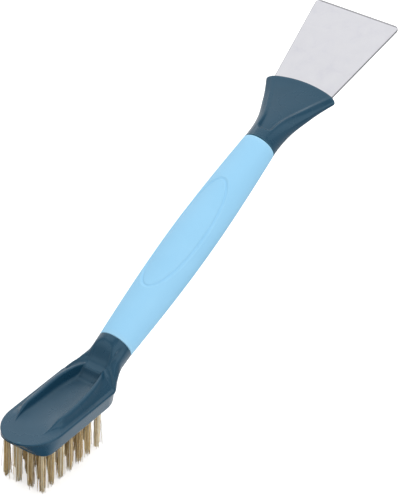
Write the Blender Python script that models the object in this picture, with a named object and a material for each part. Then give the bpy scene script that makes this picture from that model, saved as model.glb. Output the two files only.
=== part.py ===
"""Crevice brush: a wire brush head, a hollow grip sleeve and a scraper blade in its holder.

Units are metres. +X runs from the brush nose to the scraper edge, +Y is the left side seen
from behind the brush, and +Z is up, away from the bristles. The origin is at the middle of
the floor rectangle that the brush covers, level with the bristle tips.
"""
import math
import random

import bmesh
import bpy
from mathutils import Matrix, Vector

# Clearances
CLEARANCE = 0.0003

# Bristle field: tufts in rows along the head, counted from the nose
TUFT_ROWS = 7
TUFT_COLUMNS = 4
TUFT_PITCH_ALONG = 0.0067
TUFT_PITCH_ACROSS = 0.0065
TUFT_HOLE_RADIUS = 0.0016
TUFT_HOLE_DEPTH = 0.0038
BRISTLE_LENGTH = 0.0225
BRISTLE_SPREAD = 0.32
BRISTLE_GAP = 0.00007
STRAND_SECTORS = 6
INNER_STRAND_SHARE = 0.52
FULL_LENGTH_SHARE = 0.6
TIP_SCATTER = 0.0011

# Anchor staples that pin each folded tuft in its hole
ANCHOR_THICKNESS = 0.0003
ANCHOR_HEIGHT = 0.0009
FOLD_THICKNESS = 0.0005

# Brush head
HEAD_WIDTH = 0.0280
WALL_HEIGHT = 0.0075
UNDERSIDE_EDGE = 0.0007
LIP_HEIGHT = 0.0010
NOSE_MARGIN = 0.0035
NOSE_OVERHANG = 0.0060
NOSE_TOP_REACH = 0.0175
NOSE_LOW_REACH = 0.0095
REAR_MARGIN = 0.0018
RIDGE_HEIGHT = 0.0035
RIDGE_RISE = 0.0019
RIDGE_RADIUS = 0.0008
RIDGE_FOOT = 0.0019
RIDGE_SPREAD = 0.0097
RIDGE_PINCH = 0.0049
RIDGE_WIDEST_ROW = 2.5
POCKET_REACH = 0.0085
POCKET_DEPTH = 0.0023
POCKET_WALL = 0.0062
POCKET_WALL_RUN = 0.0022
NECK_STRAIGHT = 0.0065
NECK_BELLY = 0.0022
SHOULDER_START = 0.0047
SHOULDER_RUN = 0.0103
SHOULDER_ANGLE = math.radians(50.0)
SHOULDER_SQUASH = 0.6

# Grip: a spindle whose axis leaves the head at an angle
GRIP_ANGLE = math.radians(23.9)
GRIP_START_X = 0.0665
GRIP_START_Z = 0.0150
GRIP_LENGTH = 0.1250
GRIP_FRONT_RADIUS = 0.0086
GRIP_BACK_RADIUS = 0.0084
GRIP_SWELL = 0.0023
GRIP_WALL = 0.0022
THUMB_LENGTH = 0.0690
THUMB_HALF_ANGLE = math.radians(58.0)
THUMB_RECESS_DEPTH = 0.0003
THUMB_CLEAR_HEIGHT = 0.0010

# Spigots of the head and of the holder, which push into the sleeve
SPIGOT_LENGTH = 0.0220
SPIGOT_RIB = 0.0032
SPIGOT_BARBS = 4
SPIGOT_CHAMFER = 0.0010
BARB_START = 0.0025
BARB_HEIGHT = 0.0004
BARB_STEP = 0.0046
FLUTE_START = 0.0015
SEAT_STEP = 0.0020

# Scraper holder
SCRAPER_ANGLE = math.radians(22.2)
HOLDER_LENGTH = 0.0428
HOLDER_TIP_WIDTH = 0.0402
HOLDER_TIP_THICKNESS = 0.0048
HOLDER_TIP_BULGE = 0.0029
HOLDER_CORNER = 0.0022
PANEL_START = 0.0072
PANEL_HALF_WIDTH = 0.0044
PANEL_CORNER = 0.0020
PANEL_MARGIN = 0.0046
PANEL_DEPTH = 0.0032
PANEL_DRAFT = 0.0020

# Scraper blade
BLADE_THICKNESS = 0.0010
BLADE_FREE_LENGTH = 0.0508
BLADE_TIP_WIDTH = 0.0476
BLADE_SHOULDER = 0.0035
BLADE_CORNER = 0.0020
BLADE_BEVEL = 0.0010
BLADE_LAND = 0.0004
TANG_INSET = 0.0063
TANG_FULL_LENGTH = 0.0075
TANG_TAPER_LENGTH = 0.0100
TANG_WIDTH = 0.0250
TANG_TAIL_WIDTH = 0.0150
POST_RADIUS = 0.0020
POST_SPACING = 0.0120
POST_INSET = 0.0045

# Fineness of the round forms
NOSE_STEPS = 7
SIDE_STEPS = 10
NECK_STEPS = (3, 5, 9)
SLEEVE_SIDES = 32
SLEEVE_STEPS = 24
RECESS_POINTS = 44
RECESS_RINGS = 4
HOLDER_STEPS = 13
HOLE_SIDES = 12

# Sizes that follow from the ones above
HALF_WIDTH = HEAD_WIDTH / 2
LAST_ROW_X = (TUFT_ROWS - 1) * TUFT_PITCH_ALONG
REAR_CENTRE_X = LAST_ROW_X + REAR_MARGIN
NOSE_TOP_X = -NOSE_MARGIN - NOSE_OVERHANG
NOSE_LOW_X = -NOSE_MARGIN
POCKET_END_X = REAR_CENTRE_X + POCKET_REACH
POCKET_FOOT_X = POCKET_END_X - POCKET_WALL_RUN
NECK_END_X = GRIP_START_X - NECK_STRAIGHT
SHOULDER_X = REAR_CENTRE_X + SHOULDER_START
BORE_RADIUS = min(GRIP_FRONT_RADIUS, GRIP_BACK_RADIUS) - GRIP_WALL
SPIGOT_RADIUS = BORE_RADIUS - CLEARANCE
BLADE_END = HOLDER_LENGTH + BLADE_FREE_LENGTH
BLADE_ROOT_WIDTH = HOLDER_TIP_WIDTH - 2 * BLADE_SHOULDER
TANG_END = HOLDER_LENGTH - TANG_INSET
TANG_SHOULDER = TANG_END - TANG_FULL_LENGTH
TANG_START = TANG_SHOULDER - TANG_TAPER_LENGTH
POST_PLACE = TANG_END - POST_INSET

COLOURS = {
    "dark_plastic": ((0.022, 0.075, 0.125, 1.0), 0.38, 0.0),
    "pale_blue_plastic": ((0.330, 0.640, 0.900, 1.0), 0.50, 0.0),
    "steel": ((0.720, 0.720, 0.750, 1.0), 0.32, 1.0),
    "brass": ((0.560, 0.410, 0.180, 1.0), 0.38, 1.0),
    "staple_steel": ((0.550, 0.550, 0.560, 1.0), 0.40, 1.0),
}

# Angles round the neck of the points of a half section, from its underside to its top
NECK_ANGLES = [math.radians(a) for a in
               (-90, -74, -58, -43, -29, -15, -1, 12, 23, 33, 42, 51, 59, 66, 72, 78, 84, 90)]


def clear_scene():
    for thing in list(bpy.data.objects):
        bpy.data.objects.remove(thing, do_unlink=True)


def material(name):
    colour, roughness, metallic = COLOURS[name]
    made = bpy.data.materials.get(name)
    if made is None:
        made = bpy.data.materials.new(name)
        made.use_nodes = True
        shader = made.node_tree.nodes["Principled BSDF"]
        shader.inputs["Base Color"].default_value = colour
        shader.inputs["Roughness"].default_value = roughness
        shader.inputs["Metallic"].default_value = metallic
        made.diffuse_color = colour
    return made


def smoothstep(value, low, high):
    t = min(max((value - low) / (high - low), 0.0), 1.0)
    return t * t * (3.0 - 2.0 * t)


def lerp(a, b, t):
    return a + (b - a) * t


def new_object(name, bm, finish, parent=None, sharp=35.0):
    """Make the object of a finished bmesh, smooth where its faces meet at a low angle."""
    bmesh.ops.recalc_face_normals(bm, faces=bm.faces)
    mesh = bpy.data.meshes.new(name)
    bm.to_mesh(mesh)
    bm.free()
    if sharp > 0.0:
        mesh.shade_smooth()
        mesh.set_sharp_from_angle(angle=math.radians(sharp))
    mesh.materials.append(material(finish))
    made = bpy.data.objects.new(name, mesh)
    bpy.context.collection.objects.link(made)
    made.parent = parent
    return made


def cutter(name, bm, parent=None):
    made = new_object(name, bm, "staple_steel", parent)
    made.hide_render = True
    made.display_type = "WIRE"
    return made


def boolean(target, tool, operation="DIFFERENCE"):
    modifier = target.modifiers.new(tool.name, "BOOLEAN")
    modifier.operation = operation
    modifier.solver = "EXACT"
    modifier.object = tool


def empty(name, location, tilt, parent=None):
    """A guide whose X axis climbs from the horizontal by the tilt."""
    made = bpy.data.objects.new(name, None)
    made.location = location
    made.rotation_euler = (0.0, -tilt, 0.0)
    made.parent = parent
    bpy.context.collection.objects.link(made)
    return made


def skin(bm, rings, cap_start=True, cap_end=True):
    """Join closed rings of points with faces, and close the two ends."""
    loops = [[bm.verts.new(p) for p in ring] for ring in rings]
    count = len(loops[0])
    for near, far in zip(loops, loops[1:]):
        for i in range(count):
            k = (i + 1) % count
            bm.faces.new((near[i], near[k], far[k], far[i]))
    if cap_start:
        bm.faces.new(reversed(loops[0]))
    if cap_end:
        bm.faces.new(loops[-1])
    return loops


def whole_ring(half):
    """Mirror the points of a half section, whose first and last lie on the middle plane."""
    return list(half) + [Vector((p.x, -p.y, p.z)) for p in reversed(half[1:-1])]


# Brush head

def grip_axis():
    return Vector((math.cos(GRIP_ANGLE), 0.0, math.sin(GRIP_ANGLE)))


def grip_up():
    return Vector((-math.sin(GRIP_ANGLE), 0.0, math.cos(GRIP_ANGLE)))


def grip_start():
    return Vector((GRIP_START_X, 0.0, GRIP_START_Z))


def axis_height(x):
    """Height of the grip's axis, drawn on into the head."""
    return GRIP_START_Z + (x - GRIP_START_X) * math.tan(GRIP_ANGLE)


def neck_point(x, angle):
    """A point of the neck, on the section square to the axis whose middle lies at x."""
    middle = Vector((x, 0.0, axis_height(x)))
    across = neck_half_width(x) * math.cos(angle) * Vector((0, 1, 0))
    return middle + across + neck_half_height(x) * math.sin(angle) * grip_up()


def neck_half_width(x):
    """Half width of the neck, which flares forwards into the shoulders of the head."""
    share = min(max((NECK_END_X - x) / (NECK_END_X - SHOULDER_X), 0.0), 1.0)
    return lerp(GRIP_FRONT_RADIUS, HALF_WIDTH, 0.5 * (smoothstep(share, 0.0, 1.0) + share**1.4))


def neck_half_height(x):
    share = max(NECK_END_X - x, 0.0) / (NECK_END_X - REAR_CENTRE_X)
    return GRIP_FRONT_RADIUS + NECK_BELLY * share**2


def low_half_width(x):
    """Half width of the underside, round behind the last row of tufts."""
    past = max(x - REAR_CENTRE_X, 0.0) / HALF_WIDTH
    return HALF_WIDTH * math.sqrt(max(1.0 - past**2, 0.16))


def flank(x, climb):
    """A point of the head's side: level round the head, climb turns it up the neck to the crease."""
    share = min(max((x - SHOULDER_X) / SHOULDER_RUN, 0.0), 1.0)
    angle = climb * SHOULDER_ANGLE * math.sin(math.pi / 2 * share)
    y = min(neck_half_width(x) * math.cos(angle), HALF_WIDTH)
    rise = SHOULDER_SQUASH * neck_half_height(x) * math.sin(angle) / math.cos(GRIP_ANGLE)
    return y, max(axis_height(x) + rise, WALL_HEIGHT)


def ridge_y(x):
    """Distance of the ridges' crests from the middle, widest near the front rows."""
    widest = RIDGE_WIDEST_ROW * TUFT_PITCH_ALONG
    share = (min(x, POCKET_END_X) - widest) / (POCKET_END_X - widest)
    return RIDGE_SPREAD - (RIDGE_SPREAD - RIDGE_PINCH) * share**2


def ridge_share(x):
    """How far the ridges have grown out of the flat nose at x."""
    return smoothstep(x, 0.3 * TUFT_PITCH_ALONG, 2.0 * TUFT_PITCH_ALONG)


def top_middle_z(x):
    """Height of the top surface along the middle: floor, pocket wall and neck."""
    floor = WALL_HEIGHT - POCKET_DEPTH * smoothstep(x, 0.0, POCKET_FOOT_X)
    wall = POCKET_WALL * smoothstep(x, POCKET_FOOT_X, POCKET_END_X)
    top = grip_start() + grip_up() * GRIP_FRONT_RADIUS
    climb = top.z - (WALL_HEIGHT - POCKET_DEPTH + POCKET_WALL)
    return floor + wall + climb * max(x - POCKET_END_X, 0.0) / (top.x - POCKET_END_X)


def head_section(x, low_x, low_share, top_share):
    """Half section of the head, from its underside to its top.

    Points of the underside lie at low_x and those of the top at x; the shares narrow the
    section towards the nose.
    """
    edge = UNDERSIDE_EDGE
    low = low_half_width(x) * low_share
    side_y, side_z = flank(x, 0.0)
    turn_y, turn_z = flank(x, 0.6)
    wall_y, wall_z = flank(x, 1.0)
    side_y, turn_y, wall_y = side_y * top_share, turn_y * top_share, wall_y * top_share
    middle_z = top_middle_z(x)
    rear = smoothstep(x, LAST_ROW_X - TUFT_PITCH_ALONG, POCKET_END_X)
    crest_y = ridge_y(x) * top_share
    crest_z = max(WALL_HEIGHT + ridge_share(x) * RIDGE_HEIGHT + RIDGE_RISE * rear, middle_z)
    drop = min(RIDGE_RADIUS, 0.5 * (crest_z - middle_z))
    bead = RIDGE_RADIUS * top_share
    foot = RIDGE_FOOT * top_share
    foot_y = lerp(crest_y + foot, lerp(crest_y, wall_y, 0.45), rear)
    foot_z = lerp(wall_z, crest_z, 0.16 * rear)
    rim_y = wall_y - edge * top_share
    rim_z = side_z - LIP_HEIGHT
    hollow_y = max(crest_y - foot, 0.5 * crest_y)
    fall = 1.0 + 2.0 * smoothstep(x, REAR_CENTRE_X, SHOULDER_X)
    return [
        (low_x, 0.0, 0.0),
        (low_x, 0.42 * low, 0.0),
        (low_x, 0.80 * low, 0.0),
        (low_x, low - edge * low_share, 0.0),
        (low_x, low, edge),
        (lerp(low_x, x, 0.36), lerp(low, side_y, 0.36**fall), lerp(edge, rim_z, 0.36)),
        (lerp(low_x, x, 0.70), lerp(low, side_y, 0.70**fall), lerp(edge, rim_z, 0.70)),
        (x, side_y, rim_z),
        (x, turn_y, turn_z - 0.4 * edge),
        (x, rim_y, wall_z),
        (x, lerp(foot_y, rim_y, 0.45), lerp(foot_z, wall_z, 0.55)),
        (x, foot_y, foot_z),
        (x, crest_y + bead, crest_z - 0.8 * drop),
        (x, crest_y, crest_z),
        (x, crest_y - bead, crest_z - drop),
        (x, hollow_y, middle_z),
        (x, 0.5 * hollow_y, middle_z),
        (x, 0.0, middle_z),
    ]


def neck_share(index, x):
    """How far each point of the section has turned into the round neck at x."""
    if index <= 3:
        return smoothstep(x, REAR_CENTRE_X + 0.6 * HALF_WIDTH, GRIP_START_X)
    if index <= 9:
        return smoothstep(x, SHOULDER_X, NECK_END_X)
    return smoothstep(x, POCKET_END_X, GRIP_START_X)


def nose_sections():
    """Half sections of the raked bow, from its tip to where the head reaches its full width."""
    for step in range(NOSE_STEPS):
        turn = math.pi / 2 * step / NOSE_STEPS
        x = NOSE_TOP_X + NOSE_TOP_REACH * (1.0 - math.cos(turn))
        low_x = NOSE_LOW_X + NOSE_LOW_REACH * (1.0 - math.sqrt(math.cos(turn)))
        yield head_section(x, low_x, math.sqrt(math.sin(turn)), math.sin(turn))


def side_sections():
    for step in range(SIDE_STEPS):
        share = step / SIDE_STEPS
        x = lerp(NOSE_TOP_X + NOSE_TOP_REACH, REAR_CENTRE_X, share)
        low_x = lerp(NOSE_LOW_X + NOSE_LOW_REACH, REAR_CENTRE_X, share)
        yield head_section(x, low_x, 1.0, 1.0)


def neck_places():
    """Places of the neck's sections: closest together over the pocket's wall."""
    stops = (REAR_CENTRE_X, POCKET_FOOT_X, POCKET_END_X, GRIP_START_X)
    for start, end, count in zip(stops, stops[1:], NECK_STEPS):
        for step in range(count):
            yield lerp(start, end, step / count)
    yield GRIP_START_X


def head_rings():
    halves = [[Vector(p) for p in section] for section in nose_sections()]
    halves += [[Vector(p) for p in section] for section in side_sections()]
    for x in neck_places():
        section = head_section(x, x, 1.0, 1.0)
        half = []
        for index, angle in enumerate(NECK_ANGLES):
            half.append(Vector(section[index]).lerp(neck_point(x, angle), neck_share(index, x)))
        halves.append(half)
    return [whole_ring(half) for half in halves]


def spigot_profile():
    """(distance, radius) pairs along a barbed spigot, from its shoulder to its tip."""
    pairs = [(0.0, SPIGOT_RADIUS - BARB_HEIGHT)]
    place = BARB_START
    for _ in range(SPIGOT_BARBS):
        pairs.append((place, SPIGOT_RADIUS - BARB_HEIGHT))
        pairs.append((place, SPIGOT_RADIUS))
        pairs.append((place + 0.7 * BARB_STEP, SPIGOT_RADIUS - BARB_HEIGHT))
        place += BARB_STEP
    pairs.append((SPIGOT_LENGTH - SPIGOT_CHAMFER, SPIGOT_RADIUS - BARB_HEIGHT))
    pairs.append((SPIGOT_LENGTH, SPIGOT_RADIUS - BARB_HEIGHT - SPIGOT_CHAMFER))
    return pairs


def spigot_rings(middle, forward, up, angles):
    rings = []
    for along, radius in spigot_profile():
        half = [middle + forward * along
                + radius * (math.cos(a) * Vector((0, 1, 0)) + math.sin(a) * up) for a in angles]
        rings.append(whole_ring(half))
    return rings


def spigot_flutes(name, axis_guide, direction):
    """Four square pockets that leave a spigot with a cross-shaped core."""
    bm = bmesh.new()
    length = SPIGOT_LENGTH - FLUTE_START + SPIGOT_CHAMFER
    side = SPIGOT_RADIUS
    offset = (SPIGOT_RIB + side) / 2
    along = direction * (FLUTE_START + length / 2)
    for y_side in (-1, 1):
        for z_side in (-1, 1):
            place = Matrix.Translation((along, y_side * offset, z_side * offset))
            size = Matrix.Diagonal((length, side, side, 1.0))
            bmesh.ops.create_cube(bm, size=1.0, matrix=place @ size)
    return cutter(name, bm, axis_guide)


def tuft_places():
    """Row, column, x and y of every tuft."""
    for row in range(TUFT_ROWS):
        for column in range(TUFT_COLUMNS):
            y = (column - (TUFT_COLUMNS - 1) / 2) * TUFT_PITCH_ACROSS
            yield row, column, row * TUFT_PITCH_ALONG, y


def build_head(frame, grip_guide):
    bm = bmesh.new()
    rings = head_rings() + spigot_rings(grip_start(), grip_axis(), grip_up(), NECK_ANGLES)
    skin(bm, rings, cap_start=False)
    bmesh.ops.remove_doubles(bm, verts=bm.verts, dist=0.00002)
    head = new_object("brush_head", bm, "dark_plastic", frame)
    holes = bmesh.new()
    for _, _, x, y in tuft_places():
        depth = 2 * TUFT_HOLE_DEPTH
        bmesh.ops.create_cone(holes, cap_ends=True, segments=HOLE_SIDES, radius1=TUFT_HOLE_RADIUS,
                              radius2=TUFT_HOLE_RADIUS, depth=depth, matrix=Matrix.Translation((x, y, 0)))
    boolean(head, cutter("tuft_holes", holes, frame))
    boolean(head, spigot_flutes("head_flutes", grip_guide, 1))
    return head


# Bristles

def strand_faces(bm):
    """The underside of a tuft's root: a ring of triangles in a ring of quads."""
    radius = TUFT_HOLE_RADIUS - CLEARANCE
    sector = 2 * math.pi / STRAND_SECTORS
    middle = bm.verts.new((0, 0, 0))
    inner = []
    outer = []
    for i in range(STRAND_SECTORS):
        ray = Vector((math.cos(i * sector), math.sin(i * sector), 0))
        inner.append(bm.verts.new(INNER_STRAND_SHARE * radius * ray))
        outer.append(bm.verts.new(radius * ray))
    for i in range(STRAND_SECTORS):
        k = (i + 1) % STRAND_SECTORS
        bm.faces.new((middle, inner[k], inner[i]))
        bm.faces.new((inner[i], inner[k], outer[k], outer[i]))
    return outer


def build_tuft(name, x, y, seed, frame):
    """One wire tuft: its folded root, with the anchor's window, and its spread strands."""
    chance = random.Random(seed)
    bm = bmesh.new()
    outer = strand_faces(bm)
    root_faces = list(bm.faces)
    root_height = TUFT_HOLE_DEPTH - CLEARANCE
    top = [bm.verts.new(v.co + Vector((0, 0, root_height))) for v in outer]
    for i in range(STRAND_SECTORS):
        k = (i + 1) % STRAND_SECTORS
        bm.faces.new((outer[i], outer[k], top[k], top[i]))
    bm.faces.new(top)
    bmesh.ops.inset_individual(bm, faces=root_faces, thickness=BRISTLE_GAP, use_even_offset=True)
    grown = bmesh.ops.extrude_discrete_faces(bm, faces=root_faces)["faces"]
    for face in grown:
        centre = face.calc_center_median()
        short = 0.0 if chance.random() < FULL_LENGTH_SHARE else TIP_SCATTER * chance.random()
        drop = BRISTLE_LENGTH - short
        drift = Vector((chance.uniform(-1, 1), chance.uniform(-1, 1), 0)) * BRISTLE_GAP
        shift = BRISTLE_SPREAD * Vector((centre.x, centre.y, 0)) + drift - Vector((0, 0, drop))
        for vert in face.verts:
            vert.co += shift
    tuft = new_object(name, bm, "brass", frame, sharp=20.0)
    tuft.location = (x, y, 0)
    return tuft


def anchor_window(frame):
    """Cutters' mesh for the windows through which the anchors pass."""
    bm = bmesh.new()
    width = ANCHOR_THICKNESS + 2 * CLEARANCE
    height = ANCHOR_HEIGHT + 2 * CLEARANCE
    z = TUFT_HOLE_DEPTH - CLEARANCE - FOLD_THICKNESS - height / 2
    for _, _, x, y in tuft_places():
        place = Matrix.Translation((x, y, z))
        size = Matrix.Diagonal((4 * TUFT_HOLE_RADIUS, width, height, 1.0))
        bmesh.ops.create_cube(bm, size=1.0, matrix=place @ size)
    return cutter("anchor_windows", bm, frame)


def build_anchor(name, x, y, frame):
    bm = bmesh.new()
    length = 2 * (TUFT_HOLE_RADIUS - CLEARANCE)
    size = Matrix.Diagonal((length, ANCHOR_THICKNESS, ANCHOR_HEIGHT, 1.0))
    bmesh.ops.create_cube(bm, size=1.0, matrix=size)
    anchor = new_object(name, bm, "staple_steel", frame)
    window = ANCHOR_HEIGHT + 2 * CLEARANCE
    anchor.location = (x, y, TUFT_HOLE_DEPTH - CLEARANCE - FOLD_THICKNESS - window / 2)
    return anchor


def build_bristles(frame):
    windows = anchor_window(frame)
    for row, column, x, y in tuft_places():
        number = f"{row + 1}_{column + 1}"
        tuft = build_tuft("tuft_" + number, x, y, 100 * row + column, frame)
        boolean(tuft, windows)
        build_anchor("anchor_" + number, x, y, frame)


# Grip sleeve

def grip_radius(along):
    share = along / GRIP_LENGTH
    straight = lerp(GRIP_FRONT_RADIUS, GRIP_BACK_RADIUS, share)
    return straight + GRIP_SWELL * math.sin(math.pi * share)


def ring_about_x(along, radius, sides=SLEEVE_SIDES):
    ring = []
    for i in range(sides):
        turn = 2 * math.pi * i / sides
        ring.append(Vector((along, radius * math.cos(turn), radius * math.sin(turn))))
    return ring


def sleeve_rings():
    """Rings of the sleeve: out along its outer face and back through its bore."""
    start = CLEARANCE
    end = GRIP_LENGTH - CLEARANCE
    rings = []
    for step in range(SLEEVE_STEPS + 1):
        along = lerp(start, end, step / SLEEVE_STEPS)
        rings.append(ring_about_x(along, grip_radius(along)))
    seat = SPIGOT_LENGTH + SEAT_STEP
    inner = [end, end - seat]
    hollow_steps = 6
    for step in range(hollow_steps + 1):
        inner.append(lerp(end - seat - SEAT_STEP, start + seat + SEAT_STEP, step / hollow_steps))
    inner += [start + seat, start]
    for along in inner:
        seated = along >= end - seat or along <= start + seat
        radius = BORE_RADIUS if seated else max(grip_radius(along) - GRIP_WALL, BORE_RADIUS)
        rings.append(ring_about_x(along, radius))
    return rings


def oval_point(turn, share, lift):
    """A point of the thumb oval, share of the way from its middle to its edge, off the surface."""
    along = GRIP_LENGTH / 2 + share * THUMB_LENGTH / 2 * math.cos(turn)
    angle = share * THUMB_HALF_ANGLE * math.sin(turn)
    radius = grip_radius(along) + lift
    return Vector((along, radius * math.sin(angle), radius * math.cos(angle)))


def thumb_recess(grip_guide):
    """The thumb oval's shallow recess: a closed shell from its floor to clear of the sleeve."""
    bm = bmesh.new()
    layers = []
    for lift in (-THUMB_RECESS_DEPTH, THUMB_CLEAR_HEIGHT):
        for i in range(1, RECESS_RINGS + 1):
            share = (i if lift < 0 else RECESS_RINGS + 1 - i) / RECESS_RINGS
            layers.append([oval_point(2 * math.pi * k / RECESS_POINTS, share, lift)
                           for k in range(RECESS_POINTS)])
    skin(bm, layers, cap_start=True, cap_end=True)
    return cutter("thumb_recess", bm, grip_guide)


def build_sleeve(grip_guide):
    bm = bmesh.new()
    rings = sleeve_rings()
    rings.append(rings[0])
    skin(bm, rings, cap_start=False, cap_end=False)
    bmesh.ops.remove_doubles(bm, verts=bm.verts, dist=0.00001)
    sleeve = new_object("grip_sleeve", bm, "pale_blue_plastic", grip_guide)
    boolean(sleeve, thumb_recess(grip_guide))
    return sleeve


# Scraper holder and blade, drawn along the scraper's own axis from the end of the grip

def holder_half_width(along):
    tip = HOLDER_TIP_WIDTH / 2
    share = min(along / (HOLDER_LENGTH - HOLDER_CORNER), 1.0)
    return lerp(GRIP_BACK_RADIUS, tip, 0.18 * share + 0.60 * share**2 + 0.22 * share**3
                - 0.18 * share * (1.0 - share) ** 2)


def holder_half_thickness(along):
    share = smoothstep(along, -0.1 * HOLDER_LENGTH, 0.95 * HOLDER_LENGTH)
    return lerp(GRIP_BACK_RADIUS, HOLDER_TIP_THICKNESS / 2, share)


def holder_ring(along, half_width, half_thickness, flatness, bulge):
    """A section between a circle, flatness 0, and a flat bar with round edges, flatness 1."""
    half = []
    power = lerp(1.0, 0.45, flatness)
    for angle in NECK_ANGLES:
        c, s = math.cos(angle), math.sin(angle)
        y = half_width * abs(c) ** power
        z = math.copysign(half_thickness * abs(s) ** power, s)
        lean = bulge * (1.0 - (y / half_width) ** 2)
        half.append(Vector((along + lean, y, z)))
    half[0].y = half[-1].y = 0.0
    return whole_ring(half)


def holder_rings(bend):
    """Rings from the spigot's tip, over the shoulder at the sleeve's end, to the holder's tip."""
    back = Vector((-math.cos(bend), 0.0, -math.sin(bend)))
    up = Vector((-math.sin(bend), 0.0, math.cos(bend)))
    collar = [GRIP_BACK_RADIUS * (math.sin(a) * up + math.cos(a) * Vector((0, 1, 0))) for a in NECK_ANGLES]
    rings = list(reversed(spigot_rings(Vector((0, 0, 0)), back, up, NECK_ANGLES)))
    rings.append(whole_ring(collar))
    straight = HOLDER_LENGTH - HOLDER_CORNER - HOLDER_TIP_BULGE
    for step in range(1, HOLDER_STEPS + 1):
        share = step / HOLDER_STEPS
        along = straight * share
        rings.append(holder_ring(along, holder_half_width(along), holder_half_thickness(along),
                                 smoothstep(share, 0.0, 1.0), HOLDER_TIP_BULGE * share))
    tip = holder_half_width(straight)
    thin = holder_half_thickness(straight)
    for turn in (math.radians(25), math.radians(50), math.radians(72), math.radians(90)):
        inset = HOLDER_CORNER * (1.0 - math.cos(turn))
        rings.append(holder_ring(straight + HOLDER_CORNER * math.sin(turn), tip - inset,
                                 thin - 0.25 * inset, 1.0, HOLDER_TIP_BULGE))
    return rings


def blade_half_width(along):
    share = (along - HOLDER_LENGTH) / (BLADE_END - HOLDER_LENGTH)
    return lerp(BLADE_ROOT_WIDTH, BLADE_TIP_WIDTH, share) / 2


def tang_outline(grow):
    """Left side of the tang, from its tail to the step where it reaches the blade's full width."""
    return [
        (TANG_START - grow, TANG_TAIL_WIDTH / 2 + grow),
        (TANG_SHOULDER - grow, TANG_WIDTH / 2 + grow),
        (TANG_END - grow, TANG_WIDTH / 2 + grow),
        (TANG_END - grow, blade_half_width(TANG_END) + grow),
    ]


def plate(outline, thickness):
    """A flat plate of a symmetric outline, given by its left side."""
    bm = bmesh.new()
    left = [bm.verts.new((x, y, -thickness / 2)) for x, y in outline]
    right = [bm.verts.new((x, -y, -thickness / 2)) for x, y in reversed(outline)]
    face = bm.faces.new(left + right)
    grown = bmesh.ops.extrude_face_region(bm, geom=[face])["geom"]
    for item in grown:
        if isinstance(item, bmesh.types.BMVert):
            item.co.z += thickness
    return bm


def posts(name, radius, length, parent):
    bm = bmesh.new()
    for side in (-1, 1):
        place = Matrix.Translation((POST_PLACE, side * POST_SPACING / 2, 0))
        bmesh.ops.create_cone(bm, cap_ends=True, segments=HOLE_SIDES, radius1=radius,
                              radius2=radius, depth=length, matrix=place)
    return cutter(name, bm, parent)


def blade_slot(scraper_guide):
    """The room for the tang, with the two posts left standing in it."""
    past = HOLDER_LENGTH + HOLDER_CORNER
    outline = tang_outline(CLEARANCE)
    outline.append((past, blade_half_width(past) + CLEARANCE))
    slot = cutter("blade_slot", plate(outline, BLADE_THICKNESS + 2 * CLEARANCE), scraper_guide)
    boolean(slot, posts("slot_posts", POST_RADIUS, 2 * HOLDER_TIP_THICKNESS, scraper_guide))
    return slot


def panel_sections():
    """(distance, half width) pairs of a sunk panel: a rounded end, then along the holder's sides."""
    corner_steps = 3
    for step in range(corner_steps):
        turn = math.pi / 2 * step / corner_steps
        yield (PANEL_START + PANEL_CORNER * (1.0 - math.cos(turn)),
               PANEL_HALF_WIDTH - PANEL_CORNER * (1.0 - math.sin(turn)))
    steps = 8
    for step in range(steps + 1):
        along = lerp(PANEL_START + PANEL_CORNER, HOLDER_LENGTH - UNDERSIDE_EDGE, step / steps)
        yield along, max(holder_half_width(along) - PANEL_MARGIN, PANEL_HALF_WIDTH)


def panel_cutter(name, side, scraper_guide):
    """The sunk panel on one face of the holder, deepest at the grip and level at the tip."""
    bm = bmesh.new()
    floor_start = holder_half_thickness(PANEL_START) - PANEL_DEPTH
    floor_end = HOLDER_TIP_THICKNESS / 2
    rings = []
    for along, half in panel_sections():
        share = (along - PANEL_START) / (HOLDER_LENGTH - PANEL_START)
        floor = lerp(floor_start, floor_end, share**0.6)
        top = floor + GRIP_BACK_RADIUS
        low_y = half - PANEL_DRAFT / 4
        top_y = half + PANEL_DRAFT
        rings.append([(along, low_y, side * floor), (along, top_y, side * top),
                      (along, -top_y, side * top), (along, -low_y, side * floor)])
    skin(bm, rings)
    return cutter(name, bm, scraper_guide)


def build_holder(scraper_guide, grip_end_guide):
    bend = GRIP_ANGLE - SCRAPER_ANGLE
    bm = bmesh.new()
    skin(bm, holder_rings(bend))
    bmesh.ops.remove_doubles(bm, verts=bm.verts, dist=0.00001)
    holder = new_object("scraper_holder", bm, "dark_plastic", scraper_guide)
    boolean(holder, blade_slot(scraper_guide))
    boolean(holder, panel_cutter("upper_panel", 1, scraper_guide))
    boolean(holder, panel_cutter("lower_panel", -1, scraper_guide))
    boolean(holder, spigot_flutes("holder_flutes", grip_end_guide, -1))
    return holder


def blade_outline():
    """Left side of the blade: tang, root step, straight side and rounded tip corner."""
    outline = tang_outline(0.0)
    lean = math.atan2((BLADE_TIP_WIDTH - BLADE_ROOT_WIDTH) / 2, BLADE_END - HOLDER_LENGTH)
    steps = 5
    centre_x = BLADE_END - BLADE_CORNER
    centre_y = blade_half_width(centre_x) - BLADE_CORNER / math.cos(lean)
    for step in range(steps + 1):
        turn = lerp(math.radians(90.0) + lean, 0.0, step / steps)
        outline.append((centre_x + BLADE_CORNER * math.cos(turn), centre_y + BLADE_CORNER * math.sin(turn)))
    return outline


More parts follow.
